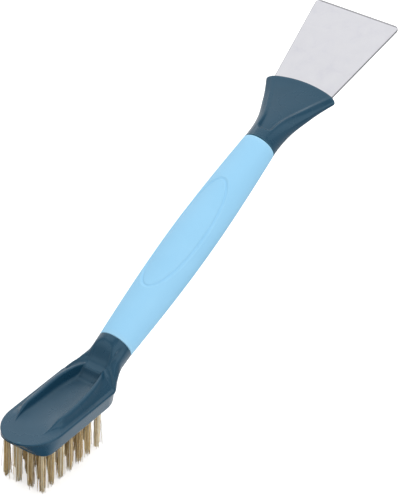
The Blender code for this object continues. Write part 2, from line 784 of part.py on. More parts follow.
def edge_grinding(name, side, scraper_guide):
    """A wedge that grinds one face of the blade down to the land at its edge."""
    bm = bmesh.new()
    reach = BLADE_TIP_WIDTH
    near = BLADE_END - BLADE_BEVEL
    far = BLADE_END + BLADE_BEVEL
    slope = (BLADE_THICKNESS - BLADE_LAND) / 2 / BLADE_BEVEL
    face = side * BLADE_THICKNESS / 2
    far_z = face - side * slope * (far - near)
    lift = side * 2 * BLADE_THICKNESS
    section = [(near, face), (far, far_z), (far, face + lift), (near, face + lift)]
    skin(bm, [[(x, -reach, z) for x, z in section], [(x, reach, z) for x, z in section]])
    return cutter(name, bm, scraper_guide)


def build_blade(scraper_guide):
    bm = plate(blade_outline(), BLADE_THICKNESS)
    blade = new_object("scraper_blade", bm, "steel", scraper_guide, sharp=0.0)
    boolean(blade, posts("tang_holes", POST_RADIUS + CLEARANCE, 2 * BLADE_THICKNESS, scraper_guide))
    boolean(blade, edge_grinding("upper_grinding", 1, scraper_guide))
    boolean(blade, edge_grinding("lower_grinding", -1, scraper_guide))
    return blade


def main():
    clear_scene()
    scraper_start = grip_start() + grip_axis() * GRIP_LENGTH
    end_x = scraper_start.x + BLADE_END * math.cos(SCRAPER_ANGLE) + BLADE_LAND / 2 * math.sin(SCRAPER_ANGLE)
    middle_x = (NOSE_TOP_X + end_x) / 2
    frame = empty("brush_frame", (-middle_x, 0.0, BRISTLE_LENGTH), 0.0)
    grip_guide = empty("grip_guide", grip_start(), GRIP_ANGLE, frame)
    grip_end_guide = empty("grip_end_guide", scraper_start, GRIP_ANGLE, frame)
    scraper_guide = empty("scraper_guide", scraper_start, SCRAPER_ANGLE, frame)
    build_head(frame, grip_guide)
    build_bristles(frame)
    build_sleeve(grip_guide)
    build_holder(scraper_guide, grip_end_guide)
    build_blade(scraper_guide)


main()
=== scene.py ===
"""Crevice brush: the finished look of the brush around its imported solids.

Units are metres in the part's own frame: +X from the brush nose to the scraper edge, +Z up.
"""

import math
import random

import bmesh
import bpy
from mathutils import Matrix, Vector


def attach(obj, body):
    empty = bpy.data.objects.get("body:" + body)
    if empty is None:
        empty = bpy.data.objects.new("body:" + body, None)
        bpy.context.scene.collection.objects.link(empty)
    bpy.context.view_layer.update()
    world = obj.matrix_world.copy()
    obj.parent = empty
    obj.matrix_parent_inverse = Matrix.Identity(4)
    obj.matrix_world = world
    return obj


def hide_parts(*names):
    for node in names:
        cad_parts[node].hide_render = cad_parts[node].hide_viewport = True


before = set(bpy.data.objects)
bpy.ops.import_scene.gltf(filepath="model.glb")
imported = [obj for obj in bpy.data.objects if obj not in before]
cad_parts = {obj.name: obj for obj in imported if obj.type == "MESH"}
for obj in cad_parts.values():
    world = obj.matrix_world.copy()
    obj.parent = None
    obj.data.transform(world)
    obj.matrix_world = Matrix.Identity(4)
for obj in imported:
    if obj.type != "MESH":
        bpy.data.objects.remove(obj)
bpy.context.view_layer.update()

# Field of tufts
TUFT_ROWS = 7
TUFT_COLUMNS = 4
TUFT_PITCH_ALONG = 0.0067
TUFT_PITCH_ACROSS = 0.0065
TUFT_HOLE_RADIUS = 0.0016
TUFT_HOLE_DEPTH = 0.0038
BRISTLE_LENGTH = 0.0225
LAST_ROW_X = (TUFT_ROWS - 1) * TUFT_PITCH_ALONG

# Brush head, placed from the first row of tufts and from its underside
HEAD_WIDTH = 0.0280
HALF_WIDTH = HEAD_WIDTH / 2
WALL_HEIGHT = 0.0075
WALL_DRAFT = 0.0006
UNDERSIDE_EDGE = 0.0007
LIP_HEIGHT = 0.0010
NOSE_LOW_X = -0.0035
NOSE_LOW_REACH = 0.0095
NOSE_TOP_X = -0.0095
NOSE_TOP_REACH = 0.0175
NOSE_END_X = NOSE_TOP_X + NOSE_TOP_REACH
BOW_LEDGE = 0.0007
RIM_ROUNDING = 0.0007
RIM_FLAT = 0.0019
REAR_CENTRE_X = LAST_ROW_X + 0.0018
REAR_NARROWEST = 0.4
NOSE_STEPS = 12
SIDE_STEPS = 20

# Its scoop, pocket, shoulders and neck
SCOOP_BOWL = 0.0005
POCKET_DEPTH = 0.0010
POCKET_FOOT_X = REAR_CENTRE_X + 0.0024
POCKET_TOP_X = REAR_CENTRE_X + 0.0073
POCKET_TOP_Z = 0.0112
POCKET_END_X = REAR_CENTRE_X + 0.0085
LEDGE_SLOPE = 0.30
LEDGE_BLEND = 0.0008
NECK_TOP_SLOPE = 1.12
NECK_BELLY = 0.0022
NECK_SWELL = 0.0006
SHOULDER_X = REAR_CENTRE_X + 0.0047
SHOULDER_RUN = 0.0103
SHOULDER_EASE = 0.0030
SHOULDER_ANGLE = math.radians(50.0)
SHOULDER_SQUASH = 0.6
NECK_EASE_X = SHOULDER_X + 0.0045
NECK_EASE_DROP = 0.0030
NECK_EASE_STEPS = 24
NECK_RING_KEPT = 0.0012

# Its two ridges; a pair gives where a change starts and ends along X
RIDGE_START_X = 0.0050
RIDGE_WIDEST_X = 0.0190
RIDGE_START_Y = 0.0084
RIDGE_WIDEST_Y = 0.0095
RIDGE_END_Y = 0.0050
RIDGE_HEIGHT = 0.0036
RIDGE_GROWTH = (RIDGE_START_X / 2, 0.0145)
RIDGE_RISE = 0.0015
RIDGE_RISE_RUN = (0.0180, 0.0430)
RIDGE_FALL = 0.0008
RIDGE_FALL_RUN = (0.0460, 0.0525)
RIDGE_RADIUS = 0.0024
RIDGE_START_RADIUS = 0.0004
RIDGE_END_RADIUS = 0.0009
RIDGE_ROUNDING_RUN = (RIDGE_START_X / 2, 0.0180)
RIDGE_TAPER_RUN = (0.0250, POCKET_END_X)
RIDGE_INNER_SHARE = 0.42

# Grip sleeve
GRIP_ANGLE = math.radians(23.9)
GRIP_START = Vector((0.0665, 0.0, 0.0150))
GRIP_LENGTH = 0.1250
GRIP_FRONT_RADIUS = 0.0086
GRIP_BACK_RADIUS = 0.0084
GRIP_SWELL = 0.0023
GRIP_EDGE = 0.00035
GRIP_ROUND_STEPS = 288
GRIP_OVAL_STEPS = 200
GRIP_END_STEPS = 8
BORE_RADIUS = 0.0062
CLEARANCE = 0.0003
SPIGOT_RADIUS = BORE_RADIUS - CLEARANCE
SPIGOT_LENGTH = 0.0126
NECK_END_X = GRIP_START.x - 0.0065
THUMB_LENGTH = 0.0690
THUMB_HALF_ANGLE = math.radians(58.0)
THUMB_DEPTH = 0.0003
THUMB_GROOVE = 0.00032
THUMB_WALL = 0.0010
THUMB_LIP = 0.00006

# Scraper holder, along its own axis
SCRAPER_ANGLE = math.radians(22.2)
HOLDER_LENGTH = 0.0424
HOLDER_TIP_WIDTH = 0.0416
HOLDER_WAIST = 0.0004
HOLDER_FULLNESS = 0.00042
HOLDER_FLANK_FALL = 0.24
HOLDER_TIP_THICKNESS = 0.0048
HOLDER_TIP_BULGE = 0.0029
HOLDER_CORNER = 0.0019
HOLDER_STEPS = 44
PANEL_START = 0.0046
PANEL_CORNER = 0.0032
PANEL_ROOT_MARGIN = 0.0040
PANEL_TIP_MARGIN = 0.0026
PANEL_WALL = 0.0021
PANEL_DEPTH = 0.0028
PANEL_TIP_DEPTH = 0.0002
PANEL_RIM = 0.0010
RIM_RISE = 0.00003
RIM_RISE_SPREAD = 0.0016

# Scraper blade, along the holder's axis
BLADE_THICKNESS = 0.0010
BLADE_TANG = 0.0060
BLADE_END = 0.0933
BLADE_TIP_WIDTH = 0.0476
BLADE_ROOT_WIDTH = 0.0332
BLADE_CORNER = 0.0032
BLADE_BEVEL = 0.0010
BLADE_RIM_BAND = 0.00022
BLADE_LAND = 0.0004

# Where the pieces meet in the frame
GRIP_AXIS = Vector((math.cos(GRIP_ANGLE), 0.0, math.sin(GRIP_ANGLE)))
GRIP_UP = Vector((-math.sin(GRIP_ANGLE), 0.0, math.cos(GRIP_ANGLE)))
SCRAPER_START = GRIP_START + GRIP_AXIS * GRIP_LENGTH
BLADE_REACH_X = (SCRAPER_START.x + BLADE_END * math.cos(SCRAPER_ANGLE)
                 + BLADE_LAND / 2 * math.sin(SCRAPER_ANGLE))
HEAD_PLACE = Vector((-(NOSE_TOP_X + BLADE_REACH_X) / 2, 0.0, BRISTLE_LENGTH))


def progress(value, low, high):
    """How far a value has come from low to high, from 0 to 1."""
    return min(max((value - low) / (high - low), 0.0), 1.0)


def smoothstep(value, low, high):
    t = progress(value, low, high)
    return t * t * (3.0 - 2.0 * t)


def lerp(a, b, t):
    return a + (b - a) * t


# Hand tools

def pick(piece):
    """Make one object the only one that is selected and worked on."""
    bpy.ops.object.select_all(action="DESELECT")
    piece.select_set(True)
    bpy.context.view_layer.objects.active = piece


def select_where(piece, test, kind="VERT"):
    """In edit mode, select the elements that pass a test: a vertex by its place, an edge by its
    two ends, a face by its middle and normal."""
    bpy.ops.mesh.select_mode(type=kind)
    bpy.ops.mesh.select_all(action="DESELECT")
    bm = bmesh.from_edit_mesh(piece.data)
    items = {"VERT": bm.verts, "EDGE": bm.edges, "FACE": bm.faces}[kind]
    for item in items:
        if kind == "VERT":
            item.select = test(item.co)
        elif kind == "EDGE":
            item.select_set(test(item.verts[0].co, item.verts[1].co))
        else:
            item.select_set(test(item.calc_center_median(), item.normal))
    bm.select_flush_mode()
    bmesh.update_edit_mesh(piece.data)


def set_ring(piece, ring):
    """Move the corners of the selected face to a section's points."""
    bm = bmesh.from_edit_mesh(piece.data)
    face = next(f for f in bm.faces if f.select)
    for vert, place in zip(face.verts, ring):
        vert.co = place
    bmesh.update_edit_mesh(piece.data)


def loft(name, rings):
    """Draw a filled ring out through a row of sections."""
    bpy.ops.object.select_all(action="DESELECT")
    bpy.ops.mesh.primitive_circle_add(vertices=len(rings[0]), radius=0.01, fill_type="NGON")
    piece = bpy.context.object
    piece.name = name
    bpy.ops.object.mode_set(mode="EDIT")
    bpy.ops.mesh.select_mode(type="FACE")
    bpy.ops.mesh.select_all(action="SELECT")
    set_ring(piece, rings[0])
    for ring in rings[1:]:
        bpy.ops.mesh.extrude_region_move()
        set_ring(piece, ring)
    bpy.ops.mesh.select_all(action="SELECT")
    bpy.ops.mesh.remove_doubles(threshold=0.00002)
    bpy.ops.mesh.normals_make_consistent(inside=False)
    bpy.ops.object.mode_set(mode="OBJECT")
    return piece


def turned(name, points, steps):
    """Draw a closed profile point by point and spin it about the X axis."""
    bpy.ops.object.select_all(action="DESELECT")
    bpy.ops.mesh.primitive_plane_add(size=0.001)
    piece = bpy.context.object
    piece.name = name
    bpy.ops.object.mode_set(mode="EDIT")
    bpy.ops.mesh.select_mode(type="VERT")
    bpy.ops.mesh.select_all(action="SELECT")
    bpy.ops.mesh.merge(type="CENTER")
    bpy.ops.transform.translate(value=points[0])
    for before, after in zip(points, points[1:] + points[:1]):
        bpy.ops.mesh.extrude_region_move(TRANSFORM_OT_translate={"value": after - before})
    bpy.ops.mesh.select_all(action="SELECT")
    bpy.ops.mesh.remove_doubles(threshold=0.00001)
    bpy.ops.mesh.spin(steps=steps, angle=2 * math.pi, center=(0, 0, 0), axis=(1, 0, 0))
    bpy.ops.mesh.select_all(action="SELECT")
    bpy.ops.mesh.remove_doubles(threshold=0.00001)
    bpy.ops.mesh.normals_make_consistent(inside=False)
    bpy.ops.object.mode_set(mode="OBJECT")
    return piece


def put(piece, tilt, place):
    """Tilt a piece up from the X axis, move it to its place in the frame and apply both."""
    pick(piece)
    piece.matrix_world = Matrix.Translation(place + HEAD_PLACE) @ Matrix.Rotation(-tilt, 4, "Y")
    bpy.ops.object.transform_apply(location=True, rotation=True, scale=True)


def smooth(piece, angle):
    """Shade a piece smooth but for the creases that are sharper than an angle in degrees."""
    pick(piece)
    bpy.ops.object.shade_smooth_by_angle(angle=math.radians(angle))


def subdivide_surface(piece, levels):
    pick(piece)
    surface = piece.modifiers.new("surface", "SUBSURF")
    surface.levels = levels
    surface.render_levels = levels
    bpy.ops.object.modifier_apply(modifier=surface.name)


# Push-in spigots, the same on head and holder

def spigot_profile(radius):
    """A ring's end face and the start of its spigot, as pairs of how far into the sleeve they
    reach and their radius."""
    return ((-0.0001, radius), (0.0, radius - 0.00012), (0.0, radius - 0.0006),
            (0.0, SPIGOT_RADIUS + 0.0003), (0.0, SPIGOT_RADIUS), (0.0006, SPIGOT_RADIUS),
            (SPIGOT_LENGTH - 0.0006, SPIGOT_RADIUS), (SPIGOT_LENGTH, SPIGOT_RADIUS - 0.0008))


# Brush head: the forms along it

def axis_height(x):
    """Height of the grip's axis, drawn on through the neck."""
    return GRIP_START.z + (x - GRIP_START.x) * math.tan(GRIP_ANGLE)


def neck_half_width(x):
    """From the round neck out to the head's full width."""
    share = progress(x, NECK_END_X, SHOULDER_X)
    swell = NECK_SWELL * math.sin(math.pi * min(1.4 * share, 1.0)) ** 2
    flare = (smoothstep(share, 0.0, 1.0) + share**1.4) / 2
    return swell + lerp(GRIP_FRONT_RADIUS, HALF_WIDTH, flare)


def neck_half_height(x):
    return GRIP_FRONT_RADIUS + NECK_BELLY * progress(x, NECK_END_X, REAR_CENTRE_X) ** 2


def neck_point(x, angle):
    """Point of the neck's oval section at x; the angle starts at its side."""
    middle = Vector((x, 0.0, axis_height(x)))
    across = neck_half_width(x) * math.cos(angle) * Vector((0, 1, 0))
    return middle + across + neck_half_height(x) * math.sin(angle) * GRIP_UP


def low_half_width(x):
    """The underside rounds in at the rear, but not to a point."""
    past = max(x - REAR_CENTRE_X, 0.0) / HALF_WIDTH
    return HALF_WIDTH * max(math.sqrt(max(1.0 - past**2, 0.0)), REAR_NARROWEST)


def flank(x, climb, top_share):
    """The head's side at x; climb turns it from its widest place up to the shoulder's crease."""
    share = progress(x, SHOULDER_X - SHOULDER_EASE, SHOULDER_X + SHOULDER_RUN)
    angle = climb * SHOULDER_ANGLE * math.sin(math.pi / 2 * share**1.6)
    rise = SHOULDER_SQUASH * neck_half_height(x) * math.sin(angle) / math.cos(GRIP_ANGLE)
    draft = WALL_DRAFT * (1.0 - smoothstep(x, SHOULDER_X, NECK_END_X))
    y = min(neck_half_width(x) * math.cos(angle), HALF_WIDTH) * (1.0 + draft / HALF_WIDTH)
    return y * top_share, max(axis_height(x) + rise, WALL_HEIGHT)


def ridge_y(x):
    """The ridges spread from the nose and then close in on the pocket."""
    if x < RIDGE_WIDEST_X:
        share = (RIDGE_WIDEST_X - x) / (RIDGE_WIDEST_X - RIDGE_START_X)
        return lerp(RIDGE_WIDEST_Y, RIDGE_START_Y, share**2)
    share = progress(x, RIDGE_WIDEST_X, POCKET_END_X)
    return lerp(RIDGE_WIDEST_Y, RIDGE_END_Y, share**3.3)


def crest_height(x):
    growth = RIDGE_HEIGHT * smoothstep(x, *RIDGE_GROWTH)
    rise = RIDGE_RISE * smoothstep(x, *RIDGE_RISE_RUN)
    return WALL_HEIGHT + growth + rise - RIDGE_FALL * smoothstep(x, *RIDGE_FALL_RUN)


def ridge_radius(x):
    full = lerp(RIDGE_START_RADIUS, RIDGE_RADIUS, smoothstep(x, *RIDGE_ROUNDING_RUN))
    return full - (RIDGE_RADIUS - RIDGE_END_RADIUS) * progress(x, *RIDGE_TAPER_RUN) ** 3


def top_middle_z(x):
    """Height along the middle: level scoop, hollow wall, short ledge, then up the neck."""
    floor = WALL_HEIGHT - POCKET_DEPTH * smoothstep(x, 0.0, 0.6 * POCKET_FOOT_X)
    ledge = POCKET_TOP_Z + LEDGE_SLOPE * (x - POCKET_TOP_X)
    top = GRIP_START + GRIP_UP * GRIP_FRONT_RADIUS
    neck = top.z + NECK_TOP_SLOPE * (x - top.x)
    climb = (ledge + neck + math.hypot(ledge - neck, LEDGE_BLEND)) / 2
    return lerp(floor, climb, progress(x, POCKET_FOOT_X, POCKET_TOP_X) ** 2)


def crest(x):
    """Height of the ridge's crest and how far its round top reaches down."""
    middle_z = top_middle_z(x)
    crest_z = max(crest_height(x), middle_z)
    return crest_z, min(ridge_radius(x), 0.6 * (crest_z - middle_z))


def bow_ledge(x):
    """Step under the lip of the bow and the way it faces; it dies away along the sides."""
    back = progress(x, NOSE_END_X, NOSE_TOP_X)
    out = Vector((-back, math.sqrt(1.0 - back * back)))
    return BOW_LEDGE * smoothstep(back, 0.30, 0.80) * out


# Brush head: its sections. Each point has the angle in degrees that it takes round the neck

def underside(low_x, low, low_share):
    """From the middle out and round the small lower edge."""
    edge = UNDERSIDE_EDGE
    inset = edge * low_share
    return [
        ((low_x, 0.0, 0.0), -90),
        ((low_x, 0.42 * low, 0.0), -74),
        ((low_x, 0.80 * low, 0.0), -58),
        ((low_x, low - 1.60 * inset, 0.0), -46),
        ((low_x, low - 0.35 * inset, 0.10 * edge), -40),
        ((low_x, low, 0.70 * edge), -34),
    ]


def side_wall(x, low_x, low, top_share):
    """Up the side, which steps in under the lip of the bow."""
    side_y, side_z = flank(x, 0.0, top_share)
    rim_z = side_z - LIP_HEIGHT
    ledge = bow_ledge(x)
    fullness = 1.0 + 2.0 * smoothstep(x, REAR_CENTRE_X, SHOULDER_X)
    points = []
    for t, angle in ((0.10, -28), (0.40, -20), (0.75, -10), (0.97, -3)):
        inset = ledge * min(1.6 * t, 1.0)
        y = max(lerp(low, side_y, t**fullness) - inset.y, 0.0)
        points.append(((lerp(low_x, x, t) - inset.x, y, lerp(UNDERSIDE_EDGE, rim_z, t)), angle))
    return points + [((x, side_y, rim_z + 0.00015), 0)]


def outer_rim(x, top_share):
    """Round the outer rim and over its narrow flat to the foot of the ridge."""
    side_y, side_z = flank(x, 0.0, top_share)
    turn_y, turn_z = flank(x, 0.6, top_share)
    wall_y, wall_z = flank(x, 1.0, top_share)
    rear = smoothstep(x, LAST_ROW_X - TUFT_PITCH_ALONG, POCKET_END_X)
    foot_z = lerp(wall_z, crest(x)[0], 0.12 * rear)
    flat_y = wall_y - RIM_FLAT * top_share
    rounding = RIM_ROUNDING * top_share
    return [
        ((x, lerp(side_y, turn_y, 0.75) - 0.10 * rounding,
          lerp(side_z, turn_z, 0.75) - 0.75 * RIM_ROUNDING), 9),
        ((x, lerp(turn_y, wall_y, 0.85) - 0.35 * rounding, wall_z - 0.25 * RIM_ROUNDING), 17),
        ((x, wall_y - 0.90 * rounding, wall_z), 23),
        ((x, flat_y, lerp(wall_z, foot_z, 0.3)), 30),
        ((x, flat_y - 0.0003 * top_share, foot_z), 36),
    ]


def ridge(x, top_share):
    """Over the ridge, which has a broad round outside and a tighter inner edge."""
    crest_y = ridge_y(x) * top_share
    crest_z, round_z = crest(x)
    radius = ridge_radius(x) * top_share
    points = []
    for across, down, angle in ((0.82, 0.95, 41), (0.68, 0.36, 45), (0.36, 0.08, 50), (0, 0, 55)):
        points.append(((x, crest_y + across * radius, crest_z - down * round_z), angle))
    radius *= RIDGE_INNER_SHARE
    round_z *= RIDGE_INNER_SHARE
    for across, down, angle in ((0.40, 0.08, 59), (0.78, 0.36, 63), (1.00, 0.95, 67)):
        points.append(((x, crest_y - across * radius, crest_z - down * round_z), angle))
    return points


def scoop(x, top_share):
    """Down the ridge's inner wall and over the hollow floor to the middle."""
    middle_z = top_middle_z(x)
    crest_z, round_z = crest(x)
    foot_y = (ridge_y(x) - 1.15 * RIDGE_INNER_SHARE * ridge_radius(x)) * top_share
    wall_z = crest_z - RIDGE_INNER_SHARE * round_z
    bowl = (SCOOP_BOWL * smoothstep(x, *RIDGE_GROWTH)
            * (1.0 - smoothstep(x, POCKET_FOOT_X, POCKET_TOP_X)))
    return [
        ((x, foot_y, lerp(wall_z, middle_z, 0.50)), 70),
        ((x, foot_y - 0.0002 * top_share, lerp(wall_z, middle_z + bowl, 0.80)), 72),
        ((x, foot_y - 0.0008 * top_share, middle_z + 1.30 * bowl), 74),
        ((x, foot_y - 0.0021 * top_share, middle_z + 0.65 * bowl), 77),
        ((x, 0.42 * foot_y, middle_z + 0.16 * bowl), 83),
        ((x, 0.0, middle_z), 90),
    ]


def head_section(x, low_x, low_share=1.0, top_share=1.0):
    """Half section of the head from its underside to its top, as pairs of a point and its angle.
    The shares narrow the bow's sections, below and above."""
    low = low_half_width(x) * low_share
    section = underside(low_x, low, low_share) + side_wall(x, low_x, low, top_share)
    section += outer_rim(x, top_share) + ridge(x, top_share) + scoop(x, top_share)
    return [(Vector(point), math.radians(angle)) for point, angle in section]


def neck_share(angle, x):
    """How far the section's point at an angle has turned into the round neck at x."""
    if angle < math.radians(-45):
        return smoothstep(x, REAR_CENTRE_X + 0.6 * HALF_WIDTH, GRIP_START.x)
    if angle < math.radians(25):
        return smoothstep(x, SHOULDER_X, NECK_END_X)
    start = POCKET_END_X + 0.0025 * smoothstep(angle, 1.0, 1.3)
    return smoothstep(x, start, GRIP_START.x)


def mirror_ring(half):
    """Close a half section with its mirror image."""
    return half + [Vector((p.x, -p.y, p.z)) for p in reversed(half[1:-1])]


def head_rings():
    """All sections of the head: bow, sides, shoulders with neck, and spigot."""
    sections = []
    for step in range(NOSE_STEPS):
        turn = math.pi / 2 * max(step, 0.25) / NOSE_STEPS
        x = NOSE_TOP_X + NOSE_TOP_REACH * (1.0 - math.cos(turn))
        low_x = NOSE_LOW_X + NOSE_LOW_REACH * (1.0 - math.sqrt(math.cos(turn)))
        sections.append(head_section(x, low_x, math.sqrt(math.sin(turn)), math.sin(turn)))
    for step in range(SIDE_STEPS):
        share = step / SIDE_STEPS
        low_x = lerp(NOSE_LOW_X + NOSE_LOW_REACH, REAR_CENTRE_X, share)
        sections.append(head_section(lerp(NOSE_END_X, REAR_CENTRE_X, share), low_x))
    halves = [[point for point, _ in section] for section in sections]
    stops = (REAR_CENTRE_X, POCKET_FOOT_X, POCKET_TOP_X + 0.0002, GRIP_START.x)
    for start, end, count in zip(stops, stops[1:], (3, 10, 18)):
        for step in range(count):
            x = lerp(start, end, step / count)
            halves.append([point.lerp(neck_point(x, angle), neck_share(angle, x))
                           for point, angle in head_section(x, x)])
    angles = [angle for _, angle in head_section(GRIP_START.x, GRIP_START.x)]
    for along, radius in ((-0.0006, GRIP_FRONT_RADIUS), *spigot_profile(GRIP_FRONT_RADIUS)):
        middle = GRIP_START + GRIP_AXIS * along
        halves.append([middle + radius * (math.cos(a) * Vector((0, 1, 0)) + math.sin(a) * GRIP_UP)
                       for a in angles])
    return [mirror_ring(half) for half in halves]


def tuft_places():
    """Number, x and y of each tuft."""
    for row in range(TUFT_ROWS):
        for column in range(TUFT_COLUMNS):
            y = (column - (TUFT_COLUMNS - 1) / 2) * TUFT_PITCH_ACROSS
            yield f"{row + 1}_{column + 1}", row * TUFT_PITCH_ALONG, y


def drill_tuft_holes(head):
    """Cut the round tuft holes in the underside."""
    drills = []
    for _, x, y in tuft_places():
        bpy.ops.object.select_all(action="DESELECT")
        bpy.ops.mesh.primitive_cylinder_add(vertices=24, radius=TUFT_HOLE_RADIUS,
                                            depth=2 * TUFT_HOLE_DEPTH, location=(x, y, 0.0))
        drills.append(bpy.context.object)
    for drill in drills:
        drill.select_set(True)
    bpy.context.view_layer.objects.active = drills[0]
    bpy.ops.object.join()
    drill = bpy.context.object
    cut = head.modifiers.new("tuft holes", "BOOLEAN")
    cut.operation = "DIFFERENCE"
    cut.solver = "EXACT"
    cut.object = drill
    pick(head)
    bpy.ops.object.modifier_apply(modifier=cut.name)
    bpy.data.objects.remove(drill, do_unlink=True)


def ease_neck(head):
    """Ease the shoulders' creases where they run out into the round neck, but not its end ring."""
    pick(head)
    bpy.ops.object.mode_set(mode="EDIT")
    select_where(head, lambda co: co.x > NECK_EASE_X
                 and co.z > axis_height(co.x) - NECK_EASE_DROP
                 and (co - GRIP_START).dot(GRIP_AXIS) < -NECK_RING_KEPT)
    bpy.ops.mesh.vertices_smooth(factor=0.5, repeat=NECK_EASE_STEPS)
    bpy.ops.object.mode_set(mode="OBJECT")


def make_head():
    head = loft("moulded_head", head_rings())
    subdivide_surface(head, 2)
    ease_neck(head)
    drill_tuft_holes(head)
    put(head, 0.0, Vector((0, 0, 0)))
    smooth(head, 50.0)
    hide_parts("brush_head")
    return head


# Grip sleeve

def grip_radius(along):
    """The grip tapers a little and swells in the middle."""
    share = along / GRIP_LENGTH
    straight = lerp(GRIP_FRONT_RADIUS, GRIP_BACK_RADIUS, share)
    return straight + GRIP_SWELL * math.sin(math.pi * share)


def thumb_depth(along, across):
    """Depth of the thumb oval: a low lip, a sloping wall, a fine groove and a level floor."""
    half_length = THUMB_LENGTH / 2
    half_width = THUMB_HALF_ANGLE * grip_radius(GRIP_LENGTH / 2)
    a, b = (along - GRIP_LENGTH / 2) / half_length, across / half_width
    share = math.hypot(a, b)
    slope = math.hypot(a / half_length, b / half_width) / max(share, 0.01)
    inset = (1.0 - share) / max(slope, 1.0) / THUMB_WALL
    if inset < 0.0:
        return -THUMB_LIP * (1.0 - smoothstep(-inset, 0.0, 0.9))
    groove = THUMB_DEPTH + THUMB_GROOVE
    stops = ((0.0, -THUMB_LIP), (0.2, 0.2 * THUMB_DEPTH), (1.0, 0.85 * groove), (1.2, groove),
             (1.4, 0.95 * groove), (1.8, THUMB_DEPTH))
    for (before, low), (after, high) in zip(stops, stops[1:]):
        if inset < after:
            return lerp(low, high, (inset - before) / (after - before))
    return THUMB_DEPTH


def press_thumb_oval(sleeve):
    """Press the oval into the outside of the fine mesh; the bore stays round."""
    pick(sleeve)
    bpy.ops.object.mode_set(mode="EDIT")
    bm = bmesh.from_edit_mesh(sleeve.data)
    for vert in bm.verts:
        radius = math.hypot(vert.co.y, vert.co.z)
        if radius > BORE_RADIUS + 0.0010:
            across = math.atan2(vert.co.y, vert.co.z) * radius
            rest = 1.0 - thumb_depth(vert.co.x, across) / radius
            vert.co.y *= rest
            vert.co.z *= rest
    bmesh.update_edit_mesh(sleeve.data)
    bpy.ops.object.mode_set(mode="OBJECT")


def sleeve_stops(start, end):
    """Places along the sleeve: few at its ends, close together over the thumb oval."""
    oval = (GRIP_LENGTH - THUMB_LENGTH) / 2 - 0.0010
    runs = ((start, oval, GRIP_END_STEPS), (oval, GRIP_LENGTH - oval, GRIP_OVAL_STEPS),
            (GRIP_LENGTH - oval, end, GRIP_END_STEPS))
    stops = [lerp(low, high, step / count) for low, high, count in runs for step in range(count)]
    return stops + [end]


def make_sleeve():
    start = CLEARANCE
    end = GRIP_LENGTH - CLEARANCE
    ease = 0.3 * GRIP_EDGE
    outline = [(start, BORE_RADIUS), (start, grip_radius(start) - GRIP_EDGE),
               (start + ease, grip_radius(start) - ease)]
    outline += [(along, grip_radius(along))
                for along in sleeve_stops(start + GRIP_EDGE, end - GRIP_EDGE)]
    outline += [(end - ease, grip_radius(end) - ease), (end, grip_radius(end) - GRIP_EDGE),
                (end, BORE_RADIUS)]
    points = [Vector((along, 0, radius)) for along, radius in outline]
    sleeve = turned("soft_grip", points, GRIP_ROUND_STEPS)
    press_thumb_oval(sleeve)
    put(sleeve, GRIP_ANGLE, GRIP_START)
    smooth(sleeve, 50.0)
    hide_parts("grip_sleeve")
    return sleeve


# Scraper holder

def holder_half_width(along):
    """The flare: a slight waist at the root and full flanks towards the tip."""
    share = min(along / (HOLDER_LENGTH - HOLDER_CORNER), 1.0)
    waist = HOLDER_WAIST * math.sin(math.pi * min(1.7 * share, 1.0))
    fullness = HOLDER_FULLNESS * smoothstep(share, 0.3, 0.6)
    fullness *= lerp(1.0, 0.45, smoothstep(share, 0.8, 1.0))
    flare = 0.96 * share**2 + 0.04 * share**3
    return lerp(GRIP_BACK_RADIUS, HOLDER_TIP_WIDTH / 2, flare) + fullness - waist


def holder_half_thickness(along):
    share = smoothstep(along, -0.1 * HOLDER_LENGTH, 0.95 * HOLDER_LENGTH)
    return lerp(GRIP_BACK_RADIUS, HOLDER_TIP_THICKNESS / 2, share)


def panel_half_width(along):
    share = smoothstep(along, PANEL_START, HOLDER_LENGTH)
    return holder_half_width(along) - lerp(PANEL_ROOT_MARGIN, PANEL_TIP_MARGIN, share)


def into_panel(along, y):
    """Distance in from the panel's rim, which has rounded corners; less than 0 outside it."""
    side = panel_half_width(max(along, PANEL_START)) - abs(y)
    front = along - PANEL_START
    if side < PANEL_CORNER and front < PANEL_CORNER:
        return PANEL_CORNER - math.hypot(PANEL_CORNER - side, PANEL_CORNER - front)
    return min(side, front)


def panel_height(along, y, height):
    """The holder's own height with the raised rim and the sunk panel in it."""
    share = progress(along, PANEL_START, HOLDER_LENGTH)
    deep = into_panel(along, y)
    fade = 1.0 - smoothstep(share, 0.80, 1.0)
    rise = RIM_RISE * fade * math.exp(-(min(deep, 0.0) / RIM_RISE_SPREAD) ** 2)
    depth = lerp(PANEL_DEPTH, PANEL_TIP_DEPTH, share**0.42) * lerp(1.0, fade, share)
    return height + rise - (depth + rise) * smoothstep(deep, 0.0, PANEL_WALL)


def ring_places(panel, half_width):
    """Places across a section: panel floor, its wall, the rim beside it and the flank."""
    floor = panel - PANEL_WALL
    rim = panel + PANEL_RIM
    places = [floor * t for t in (0.0, 0.25, 0.5, 0.75, 0.92)]
    places += [floor + PANEL_WALL * t for t in (0.0, 0.18, 0.4, 0.65, 0.85, 0.95, 1.0)]
    places += [panel + PANEL_RIM * t for t in (0.2, 0.5, 1.0)]
    return places + [lerp(rim, half_width, t) for t in (0.35, 0.60, 0.80, 0.92, 0.975, 0.995)]


